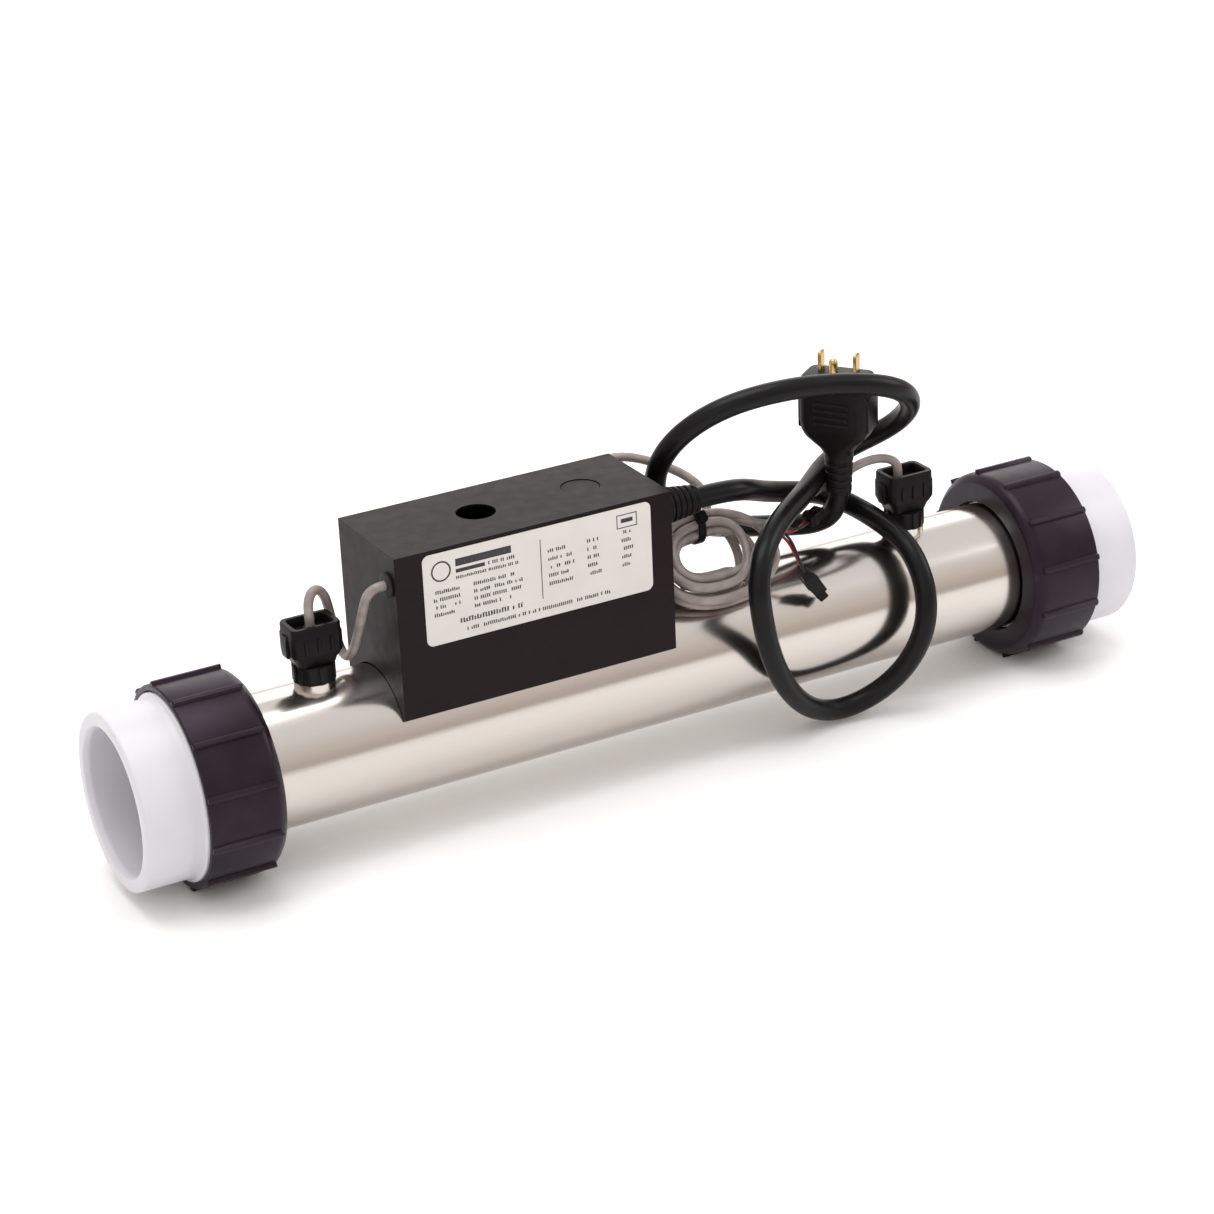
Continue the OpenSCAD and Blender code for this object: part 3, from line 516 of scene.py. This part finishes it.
def rounds(start, end, seat, spread, slack=6.5, per_round=13):
    """Points of several rounds of the hank, looser away from its tie; seat is the first of seven places."""
    count = round((end - start) * per_round)
    points = []
    for i in range(count + 1):
        s = start + (end - start) * i / count
        a = 2 * math.pi * (seat + s - start) / 7
        loose = spread * (1 + (0.22 + 0.16 * math.sin(2 * (seat + s - start))) * math.sin(math.pi * s) ** 2)
        flat = racetrack(s, loose * math.cos(a))
        flat.x += slack * math.sin(3.1 * (seat + s - start)) * max(0, flat.x / END_R - 0.3)
        points.append(HANK_PLACE + ALONG * flat.x + BACK * flat.y + OUT * loose * math.sin(a))
    return points


POCKET_Z = AXIS_Z + 52.3
right_pocket = Vector((134, 0, POCKET_Z))
back_end = Vector((-8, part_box("box_cover")[1].y / MM + 1.4, AXIS_Z + 70))
sensor_points = [
    right_pocket, right_pocket + Vector((0, 0, 4)), (134, 1, 103), (129, 4, 105), (121, 7, 104),
    (113, 9, 100), (104, 9.5, 97), (95, 7.5, 95.5), (86, 2, 94.5), (76, -4, 93), (68, -7, 92),
    (60, -6, 92), *rounds(-0.08, 3.62, 0, 5.0),
    (46, -25, 75), (51, -22, 83), (56, -18, 89), (61, -15, 92),
]
control_points = [
    back_end, back_end + Vector((0, 4, 0)), (-6, 36, 115), (1, 38, 119), (9, 35, 122), (18, 30, 122),
    (28, 25, 118), (37, 22, 113), (44, 18, 107), (45, 13, 101), *rounds(-0.04, 2.6, 4, 5.0),
    (44, -20, 77), (50, -16, 84), (56, -13, 90), (61, -11, 93),
]
sensor_route, control_route = smooth_route(sensor_points, 5), smooth_route(control_points, 5)
for word, route in (("sensor", sensor_route), ("control", control_route)):
    print(word, "cable", round(run_length(route)), "mm long")

# %% [markdown]
# ## Wire pairs and connectors
# Each grey cable ends in a red and a black wire that twist lightly round each other into a small black
# housing with a latch. The two wires are two thin tubes on either side of one route.

# %% Stripped ends
WIRE_R = 0.65
wire_points = [
    [(61, -15, 92), (63.5, -16.6, 92), (66, -20, 88), (67, -23, 82), (69, -26, 75)],
    [(61, -11, 93), (65, -11.6, 92.6), (72, -10, 88), (80, -5, 86), (87, 0, 86)],
]
wire_ends = [Vector((77, -27, 62.5)), Vector((95, 3, 88))]
for word, points, far in zip(("sensor", "control"), wire_points, wire_ends):
    route = smooth_route(points, 8)
    pair = [swept("wire", route, WIRE_R, 10, aside=side * 0.75, twist=2.2) for side in (-1, 1)]
    wires = settle(f"{word}_wires", joined("wires", pair), [wire_red, wire_black], "heater",
                   "pigtail_wires")
    half = len(wires.data.polygons) // 2
    for face in wires.data.polygons:
        face.material_index = face.index // half
    run = far - route[-1]
    place = Matrix.Translation(route[-1]) @ run.to_track_quat("Z", "Y").to_matrix().to_4x4()
    housing = [
        lofted("housing", [(5.6, 4.2, 0.6, -0.6), (6.2, 4.8, 0.6, 0.2), (6.2, 4.8, 0.6, run.length - 4),
                           (5.4, 4.2, 0.5, run.length - 3.6), (5.4, 4.2, 0.5, run.length)], place),
        lofted("latch", [(2.4, 0.8, 0.3, 3), (2.4, 1.4, 0.3, 4), (2.4, 1.2, 0.3, run.length - 2)],
               place @ Matrix.Translation((0, 2.8, 0))),
        *[lofted("rib", [(0.8, 5.6, 0.3, 1.5), (0.8, 5.6, 0.3, run.length - 5)],
                 place @ Matrix.Translation((x, 0, 0))) for x in (-2.9, 2.9)],
    ]
    settle(f"{word}_connector", joined("housing", housing), plug_plastic, "heater",
                                   "lead_connectors")

# %% Grey cables and the tie
left_pocket = Vector((-148, 0, POCKET_Z))
left_end = Vector((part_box("box_cover")[0].x / MM - 1.4, -19, AXIS_Z + 72))
left_points = [
    left_pocket, left_pocket + Vector((0, 0, 5)), (-148, 1, 106), (-144, 3, 111), (-138, 6, 106),
    (-135, 10, 95), (-132, 13, 84), (-131, 10, 75), (-131, 1, 77), (-131, -7, 89), (-131, -14, 102),
    (-131, -19, 112), left_end - Vector((4, 0, 0)), left_end,
]
left_route = smooth_route(left_points, 8)
tie_place = Matrix.Translation(HANK_PLACE + BACK * END_R) @ Matrix.Rotation(math.radians(45), 4, "X")
tie_band = turned("band", [(7.1, -1.8, 0.2), (7.8, -1.8, 0.4), (7.8, 1.8, 0.4), (7.1, 1.8, 0.2)],
                  tie_place, 48)
tie_lock = lofted("lock", [(4, 4.8, 0.8, 7), (4.4, 5, 0.8, 7.6), (4.4, 5, 0.8, 10.2), (3.6, 4.2, 0.8, 11)],
                  tie_place)
tie_tail = lofted("tail", [(1.2, 3, 0.3, 8.4), (1.0, 2.6, 0.3, 17)], tie_place
                  @ Matrix.Translation((0, 1.2, 0)) @ Matrix.Rotation(math.radians(-24), 4, "X"))
tie = settle("hank_tie_piece", joined("tie", [tie_band, tie_lock, tie_tail]), plug_plastic, "heater",
             "hank_tie")
sensor_cable = settle("sensor_cable_right", swept("sensor", sensor_route, LEAD_R, 14), grey_jacket,
                      "heater", ("sensor_lead_right", "lead_hank", "pigtail_lead"))
control_cable = settle("control_cable", swept("control", control_route, LEAD_R, 14), grey_jacket, "heater",
                       "control_lead")
left_cable = settle("sensor_cable_left", swept("left", left_route, LEAD_R, 16), grey_jacket, "heater",
                    "sensor_lead_left")

# %% [markdown]
# ## Floor, light and surroundings
# Bright steel shows what stands round it. A pale floor and a large soft light overhead give the long
# white bands, and warm grey surroundings near the horizon give the beige ones. A panel far behind is
# there for the black faces that are seen at a low angle, since it puts a soft sheen on them.

# %% Floor and lights
floor_mesh = bpy.data.meshes.new("floor")
floor_mesh.from_pydata([(-14, -8, 0), (14, -8, 0), (14, 22, 0), (-14, 22, 0)], [], [(0, 1, 2, 3)])
floor = added("floor", floor_mesh)
floor_mesh.materials.append(finish("floor_paper", (0.93, 0.93, 0.93), 0.7, spread=0.01, bump=0.0))
floor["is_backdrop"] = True

world = bpy.data.worlds.new("studio")
bpy.context.scene.world = world
world.use_nodes = True
sky = world.node_tree.nodes
towards = sky.new("ShaderNodeTexCoord")
split = sky.new("ShaderNodeSeparateXYZ")
bands = sky.new("ShaderNodeValToRGB")
bands.color_ramp.elements[0].position, bands.color_ramp.elements[0].color = 0.0, (0.58, 0.52, 0.48, 1)
bands.color_ramp.elements[1].position, bands.color_ramp.elements[1].color = 0.75, (1, 1, 1, 1)
middle = bands.color_ramp.elements.new(0.3)
middle.color = (0.82, 0.75, 0.69, 1)
world.node_tree.links.new(towards.outputs["Generated"], split.inputs["Vector"])
world.node_tree.links.new(split.outputs["Z"], bands.inputs["Fac"])
world.node_tree.links.new(bands.outputs["Color"], sky["Background"].inputs["Color"])
sky["Background"].inputs["Strength"].default_value = 1.0


def soft_light(name, place, size, power, aim=(0, 0, 0.05)):
    """A square area light that points at the heater."""
    lamp = added(name, bpy.data.lights.new(name, "AREA"))
    lamp.data.size, lamp.data.energy = size, power
    lamp.visible_camera = False
    lamp.location = place
    lamp.rotation_euler = (Vector(aim) - Vector(place)).to_track_quat("-Z", "Y").to_euler()
    return lamp


soft_light("overhead", (-0.2, 0.1, 1.7), 1.2, 15)
soft_light("far_right_panel", (1.3, 2.4, 1.25), 2.0, 14)
soft_light("right_side", (1.5, -0.5, 1.0), 0.8, 6)
soft_light("front_left", (-1.3, -1.2, 0.9), 0.9, 1.5)
bpy.context.scene.view_settings.view_transform = "Standard"

# %% [markdown]
# ## The unions
# A union joins the tube to a pipe: the white tailpiece is cemented on the pipe, and the black nut pulls
# its nose against the flange on the tube. Both are turned shapes. The thread is a real helix swept round
# the tailpiece's collar, right-handed at both ends, so it shows when the nut is undone. The grip ribs
# repeat round the nut, which is work for Geometry Nodes: one rib, a number of points, and a turn each.

# %% Building a tree and growing a mesh from it
def tree_of(name, inputs, nodes, links):
    """A tree with named inputs; its links lead to join, which a finish and the output follow."""
    tree = bpy.data.node_groups.new(name, "GeometryNodeTree")
    tree.interface.new_socket("Geometry", in_out="OUTPUT", socket_type="NodeSocketGeometry")
    for label, kind in (*inputs, ("Finish", "Material")):
        tree.interface.new_socket(label, in_out="INPUT", socket_type="NodeSocket" + kind)
    nodes = {"in": "NodeGroupInput", "out": "NodeGroupOutput", "join": "GeometryNodeRealizeInstances",
             "coat": "GeometryNodeSetMaterial", **nodes}
    made = {key: tree.nodes.new(kind) for key, kind in nodes.items()}
    for giver, gives, taker, takes in (
            *links, ("join", "Geometry", "coat", "Geometry"), ("in", "Finish", "coat", "Material"),
            ("coat", "Geometry", "out", 0)):
        tree.links.new(made[giver].outputs[gives], made[taker].inputs[takes])
    return tree, made


def grown(tree, values, place):
    """What a tree makes of its inputs, as a plain mesh moved into place, its faces outwards."""
    carrier = added("carrier", bpy.data.meshes.new("carrier"))
    maker = carrier.modifiers.new("maker", "NODES")
    maker.node_group = tree
    for socket in tree.interface.items_tree:
        if socket.in_out == "INPUT":
            maker[socket.identifier] = values[socket.name]
    result = plain(carrier)
    result.transform(Matrix.Translation(place.translation * MM) @ place.to_3x3().to_4x4())
    return faced_out(result)


# %% A tree that sets copies round X, evenly turned
RING, ring_nodes = tree_of(
    "copies_round_x", (("Piece", "Object"), ("Count", "Int"), ("Start", "Float")),
    {"points": "GeometryNodePoints", "piece": "GeometryNodeObjectInfo",
     "copies": "GeometryNodeInstanceOnPoints", "index": "GeometryNodeInputIndex",
     "step": "ShaderNodeMath", "turn": "ShaderNodeMath", "place": "ShaderNodeMath",
     "spin": "ShaderNodeCombineXYZ"},
    (("in", "Count", "points", "Count"), ("in", "Piece", "piece", "Object"), ("in", "Count", "step", 1),
     ("index", "Index", "turn", 0), ("step", "Value", "turn", 1), ("turn", "Value", "place", 0),
     ("in", "Start", "place", 1), ("place", "Value", "spin", "X"), ("points", 0, "copies", "Points"),
     ("piece", "Geometry", "copies", "Instance"), ("spin", "Vector", "copies", "Rotation"),
     ("copies", "Instances", "join", "Geometry")))
ring_nodes["step"].operation, ring_nodes["turn"].operation = "DIVIDE", "MULTIPLY"
ring_nodes["step"].inputs[0].default_value = 2 * math.pi


def ring_of(mesh, count, start, coat, place):
    """Copies of a mesh round X through the tree above, as a plain mesh moved into place."""
    pattern = added("pattern", mesh)
    result = grown(RING, {"Piece": pattern, "Count": count, "Start": start, "Finish": coat}, place)
    bpy.data.objects.remove(pattern)
    return result


# %% Sizes of the unions, from the frame
nut_low, nut_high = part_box("union_nut_right")
NUT_IN, NUT_OUT = nut_low.x / MM, nut_high.x / MM
TAIL_IN, TAIL_OUT = (v.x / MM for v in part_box("tailpiece_right"))
FLANGE_X = tube_high.x / MM
RIBS, RIB_R, NUT_R = 12, 43.7, 42.1
COLLAR_R, TAIL_R, SOCKET_R, WATER_R = 39.0, 37.0, 30.3, 26.0
THREAD_PITCH, THREAD_RISE = 5.0, 1.2
BORE_R, GROOVE_R, MOUTH_R, SHOULDER_R = 39.3, 40.5, 39.9, 36.6
O_RING_IN, O_RING_OUT = 27.1, 36.0
print("nut from", round(NUT_IN, 1), "to", round(NUT_OUT, 1), "mm, tailpiece out to", round(TAIL_OUT, 1))


# %% Nuts
def nut_rib():
    """One grip rib over the axis: a bar with a crowned top and a round end on the tube's side."""
    start, end, half = NUT_IN + 3.2, NUT_OUT - 0.2, 1.5
    rows = []
    stations = [start + half * (1 - math.cos(math.radians(a))) for a in (0, 25, 50, 70, 90)]
    stations += [end - 0.6, end]
    widths = [half * math.sin(math.radians(a)) for a in (12, 25, 50, 70, 90)] + [half, half * 0.8]
    for x, w in zip(stations, widths):
        top = RIB_R - (0.5 if x in (stations[0], end) else 0.0)
        rows.append([(x, -w - 0.35, NUT_R - 0.8), (x, -w, NUT_R + 0.3), (x, -w * 0.72, top - 0.25),
                     (x, 0, top), (x, w * 0.72, top - 0.25), (x, w, NUT_R + 0.3),
                     (x, w + 0.35, NUT_R - 0.8)])
    n = len(rows[0])
    points = [p for row in rows for p in row]
    faces = [(i * n + k, (i + 1) * n + k, (i + 1) * n + (k + 1) % n, i * n + (k + 1) % n)
             for i in range(len(rows) - 1) for k in range(n)]
    faces += [tuple(range(n)), tuple(range((len(rows) - 1) * n, len(rows) * n))[::-1]]
    return mesh_from("rib", points, faces)


nut_outline = [
    (TUBE_R + 1.1, NUT_IN, 0.5), (NUT_R - 3.4, NUT_IN, 0.6), (NUT_R, NUT_IN + 3.2, 2.2),
    (NUT_R, NUT_OUT, 0.9), (MOUTH_R, NUT_OUT, 0.3), (BORE_R, NUT_OUT - 0.6, 0.1),
    (BORE_R, NUT_OUT - 2, 0),
]
SHOULDER_X, QUARTER = FLANGE_X - 1, THREAD_PITCH / 4
for k in range(int((NUT_OUT - 2 - FLANGE_X - 2) / THREAD_PITCH), -1, -1):
    x = FLANGE_X + 2 + (k - 0.25) * THREAD_PITCH
    if x < NUT_OUT - 4:
        nut_outline += [(BORE_R, x + QUARTER, 0.1), (GROOVE_R, x, 0.1), (GROOVE_R, x - QUARTER, 0.1),
                        (BORE_R, max(x - 2 * QUARTER, SHOULDER_X), 0.1)]
nut_outline += [(SHOULDER_R, SHOULDER_X, 0.1), (SHOULDER_R, NUT_IN + 4.2, 0.2),
                (TUBE_R + 1.1, NUT_IN + 4.2, 0.3)]
for side, word in ((-1, "left"), (1, "right")):
    ribs = ring_of(nut_rib(), RIBS, math.radians(15), nut_plastic, at_end(side))
    body = turned("nut", nut_outline, at_end(side), 192)
    settle(f"union_nut_{word}_piece", joined("nut", [body, ribs]), nut_plastic, f"union_nut_{word}",
           f"union_nut_{word}", sharp=30)
print(RIBS, "grip ribs on each nut")


# %% Tailpieces with a true thread
def helix_ridge(side):
    """A ridge of thread round the collar, right-handed at either end."""
    first, last = TAIL_IN + 1.6, NUT_OUT - 5.4
    turns = (last - first) / THREAD_PITCH
    steps = int(turns * 72)
    section = [(-1.15, -0.2), (-0.55, 1.0), (0.55, 1.0), (1.15, -0.2)]
    points, faces = [], []
    for i in range(steps + 1):
        share = i / steps
        a = side * 2 * math.pi * turns * share
        fade = min(1, 12 * share, 12 * (1 - share))
        for dx, rise in section:
            r = COLLAR_R - THREAD_RISE + (rise * THREAD_RISE * fade if rise > 0 else rise)
            points.append((first + (last - first) * share + dx, r * math.cos(a), r * math.sin(a)))
    for i in range(steps):
        for k in range(4):
            m = (k + 1) % 4
            faces.append((i * 4 + k, i * 4 + m, i * 4 + 4 + m, i * 4 + 4 + k))
    faces += [(0, 1, 2, 3), (steps * 4 + 3, steps * 4 + 2, steps * 4 + 1, steps * 4)]
    place = at_end(side)
    return mesh_from("thread", [place @ Vector(p) for p in points], faces)


SEAT_R = (O_RING_IN + O_RING_OUT) / 2
tail_outline = [
    (WATER_R, TAIL_IN, 0.4), (SEAT_R - 2.1, TAIL_IN, 0.1), (SEAT_R - 2.1, TAIL_IN + 2.6, 0.2),
    (SEAT_R + 2.1, TAIL_IN + 2.6, 0.2), (SEAT_R + 2.1, TAIL_IN, 0.1),
    (COLLAR_R - THREAD_RISE, TAIL_IN, 0.5), (COLLAR_R - THREAD_RISE, NUT_OUT - 3.5, 0.2),
    (COLLAR_R, NUT_OUT - 2.5, 0.2), (COLLAR_R, NUT_OUT + 0.5, 0.5), (TAIL_R + 0.7, NUT_OUT + 1.2, 0.4),
    (TAIL_R, NUT_OUT + 3.2, 1.2), (TAIL_R, TAIL_OUT, 1.6), (SOCKET_R + 1.2, TAIL_OUT, 0.8),
    (SOCKET_R, TAIL_OUT - 2.4, 0.8), (SOCKET_R - 0.12, TAIL_OUT - 36, 0.3), (WATER_R, TAIL_OUT - 36, 0.6),
]
for side, word in ((-1, "left"), (1, "right")):
    body = turned("tail", tail_outline, at_end(side), 192)
    settle(f"tailpiece_{word}_piece", joined("tail", [body, helix_ridge(side)]), pvc, f"tailpiece_{word}",
           f"tailpiece_{word}")

# %% [markdown]
# ## The tube, its welds and the heating element
# The CAD tube, flanges and bosses are already the right shape, so they only take their finish. A welder
# leaves a bead of overlapping ripples where a ring meets the tube. A round section swept along a circle,
# growing and shrinking as it goes, gives that bead, and a second tree makes it for any size.

# %% A tree for weld beads round Z
BEAD, bead_nodes = tree_of(
    "weld_bead", (("Radius", "Float"), ("Bead", "Float"), ("Ripples", "Float")),
    {"ring": "GeometryNodeCurvePrimitiveCircle", "section": "GeometryNodeCurvePrimitiveCircle",
     "share": "GeometryNodeSplineParameter", "phase": "ShaderNodeMath", "saw": "ShaderNodeMath",
     "size": "ShaderNodeMapRange", "skin": "GeometryNodeCurveToMesh"},
    (("in", "Radius", "ring", "Radius"), ("in", "Bead", "section", "Radius"),
     ("share", "Factor", "phase", 0), ("in", "Ripples", "phase", 1), ("phase", "Value", "saw", 0),
     ("saw", "Value", "size", "Value"), ("ring", "Curve", "skin", "Curve"),
     ("size", "Result", "skin", "Scale"), ("section", "Curve", "skin", "Profile Curve"),
     ("skin", "Mesh", "join", "Geometry")))
bead_nodes["ring"].inputs["Resolution"].default_value = 600
bead_nodes["section"].inputs["Resolution"].default_value = 10
bead_nodes["phase"].operation, bead_nodes["saw"].operation = "MULTIPLY", "FRACT"
bead_nodes["size"].inputs["To Min"].default_value = 0.82
bead_nodes["size"].inputs["To Max"].default_value = 1.0
BEAD_SIZES = {"Radius": (TUBE_R + 0.15) * MM, "Bead": 0.9 * MM, "Ripples": 90.0, "Finish": weld_steel}
ACROSS_X = Matrix.Rotation(math.pi / 2, 4, "Y")
beads = [grown(BEAD, BEAD_SIZES, Matrix.Translation((s * (FLANGE_X - 6.1), 0, AXIS_Z)) @ ACROSS_X)
         for s in (-1, 1)]
settle("flange_welds", joined("welds", beads), weld_steel, "heater")
print(len(beads), "weld beads of", int(BEAD_SIZES["Ripples"]), "ripples")

# %% Finishes of the CAD nodes that stay
def coat(material, *names):
    """Gives CAD nodes a finish; their shapes stay as they are."""
    for name in names:
        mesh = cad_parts[name].data
        mesh.materials.clear()
        mesh.materials.append(material)


coat(steel, "heater_tube", "tube_flange_left", "tube_flange_right", "sensor_boss_left", "sensor_boss_right")
coat(probe_steel, "sensor_probe_left", "sensor_probe_right")
coat(brass, "element_fittings", "element_nuts", "ring_lugs")
coat(red_rubber, "element_gaskets")
coat(zinc, "terminal_studs", "terminal_nuts", "ground_stud")
coat(wire_red, "internal_wires")
coat(inner_sheet, "base_plate")
coat(rubber, "o_ring_left", "o_ring_right", "gland_locknut")

# %% [markdown]
# ## The heating element
# It is a sheathed wire bent down through the tube's wall, wound along the tube, and brought back along
# the middle. Looking into a socket, its last turns show. The route is worked out by a formula, since the
# coil is a plain helix, and the tube is swept along it more finely than the CAD solid was.

# %% Element
element_low, element_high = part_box("heating_element")
SHEATH_R, COIL_R, COIL_TURNS = 4.0, 16.0, 7
leg_left, leg_right = element_low.x / MM + SHEATH_R, -25.2
coil_pitch = (leg_right - leg_left) / 2.5
coil_end = leg_left + COIL_TURNS * coil_pitch
element_points = [(leg_left, 0, z) for z in (element_high.z / MM - AXIS_Z, 26, 20)]
for i in range(1, COIL_TURNS * 40):
    t = i / 40
    a = 2 * math.pi * t
    element_points.append((leg_left + t * coil_pitch, COIL_R * math.sin(a), COIL_R * math.cos(a)))
for a in range(0, 151, 15):
    b = math.radians(a)
    element_points.append((coil_end + 8 * math.sin(b), 3.2 * math.sin(b), COIL_R / 2 * (1 + math.cos(b))))
element_points += [(x, 0, 0) for x in (coil_end - 10, (coil_end + leg_right) / 2, leg_right + 8)]
for a in (30, 60):
    b = math.radians(a)
    element_points.append((leg_right + 8 * (1 - math.sin(b)), 0, 8 * (1 - math.cos(b))))
element_points += [(leg_right, 0, z) for z in (8, 20, element_high.z / MM - AXIS_Z)]
element_route = [Vector(p) + Vector((0, 0, AXIS_Z)) for p in element_points]
settle("heating_element_piece", swept("element", element_route, SHEATH_R, 20), sheath_metal, "heater",
       "heating_element")
print("element", round(run_length(element_route)), "mm of sheath")

# %% [markdown]
# ## The box
# The cover is folded from one sheet, punched, and powder coated, which gives tight round bends and a very
# fine orange-peel grain. A bevel on a copy of the CAD cover gives the bends. The closed knockout sits a
# hair below the surface on its two bridges. The screws and grommets are softened CAD copies as well.

# %% Cover, knockout, screws and grommets
settle("box_cover_piece", softened("box_cover", 0.5, 3), powder_coat, "heater", "box_cover",
       sharp=12)
settle("knockout_piece", softened("knockout_slug", 0.12), powder_coat, "heater",
       "knockout_slug", sharp=12)
settle("cover_screws_piece", softened("cover_screws", 0.25), zinc, "heater", "cover_screws",
       sharp=12)
for word in ("lead_grommet", "lead_grommet_back"):
    settle(f"{word}_piece", softened(word, 0.4, 3), rubber, "heater", word)

# %% [markdown]
# ## The rating label
# The plate says nothing here: rows of small strokes stand for its columns of print, as on a dummy label.
# The strokes are thin slabs on the paper, and a fixed seed chooses how long each row runs.

# %% Label
settle("rating_label_piece", softened("rating_label", 0.08), label_paper, "heater", "rating_label")
label_low, label_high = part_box("rating_label")
LABEL_X, LABEL_TOP, LABEL_FACE = label_low.x / MM, label_high.z / MM, label_low.y / MM
random.seed(23)


def slab(x, z, width, height):
    """A printed bar on the label, measured from its upper left corner."""
    low = Vector((LABEL_X + x, LABEL_FACE - 0.04, LABEL_TOP - z - height))
    high = Vector((LABEL_X + x + width, LABEL_FACE + 0.02, LABEL_TOP - z))
    corners = [(a, b, c) for a in (low.x, high.x) for b in (low.y, high.y) for c in (low.z, high.z)]
    return mesh_from("slab", corners, [(0, 1, 3, 2), (4, 6, 7, 5), (0, 4, 5, 1), (2, 3, 7, 6), (0, 2, 6, 4),
                                       (1, 5, 7, 3)])


def strokes(x, z, length, height):
    """A row of short upright strokes with gaps, in place of print."""
    row, at = [], 0.0
    while at < length - height * 0.4:
        if random.random() > 0.16:
            tall = height * random.choice((1, 1, 0.75))
            row.append(slab(x + at, z + height - tall, height * 0.34, tall))
            if random.random() > 0.45:
                bar_z = z + height * random.choice((0, 0.42, 0.85))
                row.append(slab(x + at, bar_z, height * 0.5, height * 0.16))
        at += height * 0.62
    return row


def hoop(x, z, r, wide):
    """A plain printed ring."""
    face = Vector((LABEL_X + x, LABEL_FACE - 0.01, LABEL_TOP - z))
    turn = Matrix.Translation(face) @ Matrix.Rotation(-math.pi / 2, 4, "Z")
    outline = [(r - wide, -0.03, 0), (r, -0.03, 0), (r, 0.03, 0), (r - wide, 0.03, 0)]
    return turned("hoop", outline, turn, 48)


print_marks = [hoop(8, 8, 4.4, 0.7), slab(14.5, 4.2, 25, 3.2), slab(14.5, 8.6, 13, 1.6)]
print_marks += strokes(29, 8.6, 12, 1.5) + strokes(14.5, 11.6, 28, 1.3)
for k in range(4):
    print_marks += strokes(4, 16 + 3.2 * k, random.uniform(9, 14), 1.5)
    print_marks += strokes(22, 16 + 3.2 * k, random.uniform(17, 24), 1.5)
print_marks += strokes(14, 30.2, 30, 2.0) + strokes(18, 34.6, 66, 1.5)
print_marks.append(slab(52.5, 5, 0.35, 26))
for k in range(5):
    print_marks += strokes(56, 10 + 3.6 * k, random.uniform(8, 13), 1.5)
    print_marks += strokes(74, 10 + 3.6 * k, random.uniform(4, 7), 1.5)
    print_marks += strokes(90, 10 + 3.6 * k, random.uniform(3, 6), 1.5)
print_marks += [slab(88, 3, 9.5, 0.4), slab(88, 8.6, 9.5, 0.4), slab(88, 3, 0.4, 6), slab(97.1, 3, 0.4, 6)]
print_marks.append(slab(90, 4.9, 5.5, 1.8))
settle("label_print", joined("print", print_marks), label_ink, "heater")
print(len(print_marks), "printed marks")

# %% [markdown]
# ## Sensor plugs and their nuts
# Each sensor screws into a boss with a small ribbed nut, and a black housing plugs on top. The housing is
# a loft that runs up the outside, over the rim and down into the pocket where the cable comes out. Ribs
# for the fingers and a latch on each side are lofts too.

# %% Sensor plugs
for word, cable_x in (("left", 0), ("right", -3)):
    low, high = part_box(f"sensor_plug_{word}")
    foot = Matrix.Translation(((low.x + high.x) / 2 / MM, (low.y + high.y) / 2 / MM, low.z / MM))
    tall = (high.z - low.z) / MM
    shell = lofted("shell", [
        (14.5, 11, 2.5, 0), (16.5, 12.4, 2.5, 0.6), (17.5, 13, 2.6, 2.2), (21.2, 15.4, 3, 5.0),
        (22.4, 16, 3, 6.2), (22.4, 16, 3, tall - 4.4), (21.6, 15.4, 2.8, tall - 3.4),
        (21.6, 15.4, 2.8, tall - 0.7), (20.9, 14.7, 2.6, tall), (17.6, 11.8, 2, tall),
        (16.6, 11, 2, tall - 0.6), (16, 10.6, 1.8, tall - 4)], foot)
    fingers = [lofted("finger", [(1.1, 1.6, 0.4, 6.6), (1.5, 2, 0.4, 7.2), (1.5, 2, 0.4, tall - 5.4),
                                 (1.1, 1.4, 0.4, tall - 4.8)], foot @ Matrix.Translation((x, y, 0)))
               for x in (-5.6, 0, 5.6) for y in (-7.7, 7.7)]
    latches = [lofted("latch", [(1.2, 5, 0.4, 4.6), (2, 5.6, 0.4, 6), (2, 5.6, 0.4, tall - 6.5),
                                (0.8, 4.6, 0.3, tall - 4)], foot @ Matrix.Translation((s * 11.2, 0, 0)))
               for s in (-1, 1)]
    sleeve = turned("sleeve", [(2.05, -0.5, 0.1), (3.3, -0.5, 0.1), (3.1, 1.4, 0.5), (2.05, 1.6, 0.2)],
                    foot @ upright((cable_x, 0, tall - 4)), 32)
    settle(f"sensor_plug_{word}_piece", joined("shell", [shell, *fingers, *latches, sleeve]), plug_plastic,
           "heater", f"sensor_plug_{word}")
    settle(f"sensor_nut_{word}_piece", softened(f"sensor_nut_{word}", 0.3), plug_plastic, "heater",
           f"sensor_nut_{word}")
    print(word, "sensor plug", round(tall, 1), "mm tall")

# %% [markdown]
# ## Sizes and the end
# The last cell prints how large the CAD model and the finished one are, so that they can be compared.

# %% Print the sizes
new_low, new_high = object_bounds()
for word, low, high in (("CAD", cad_low, cad_high), ("visual", new_low, new_high)):
    print(word, "box", [round(v, 4) for v in high - low])
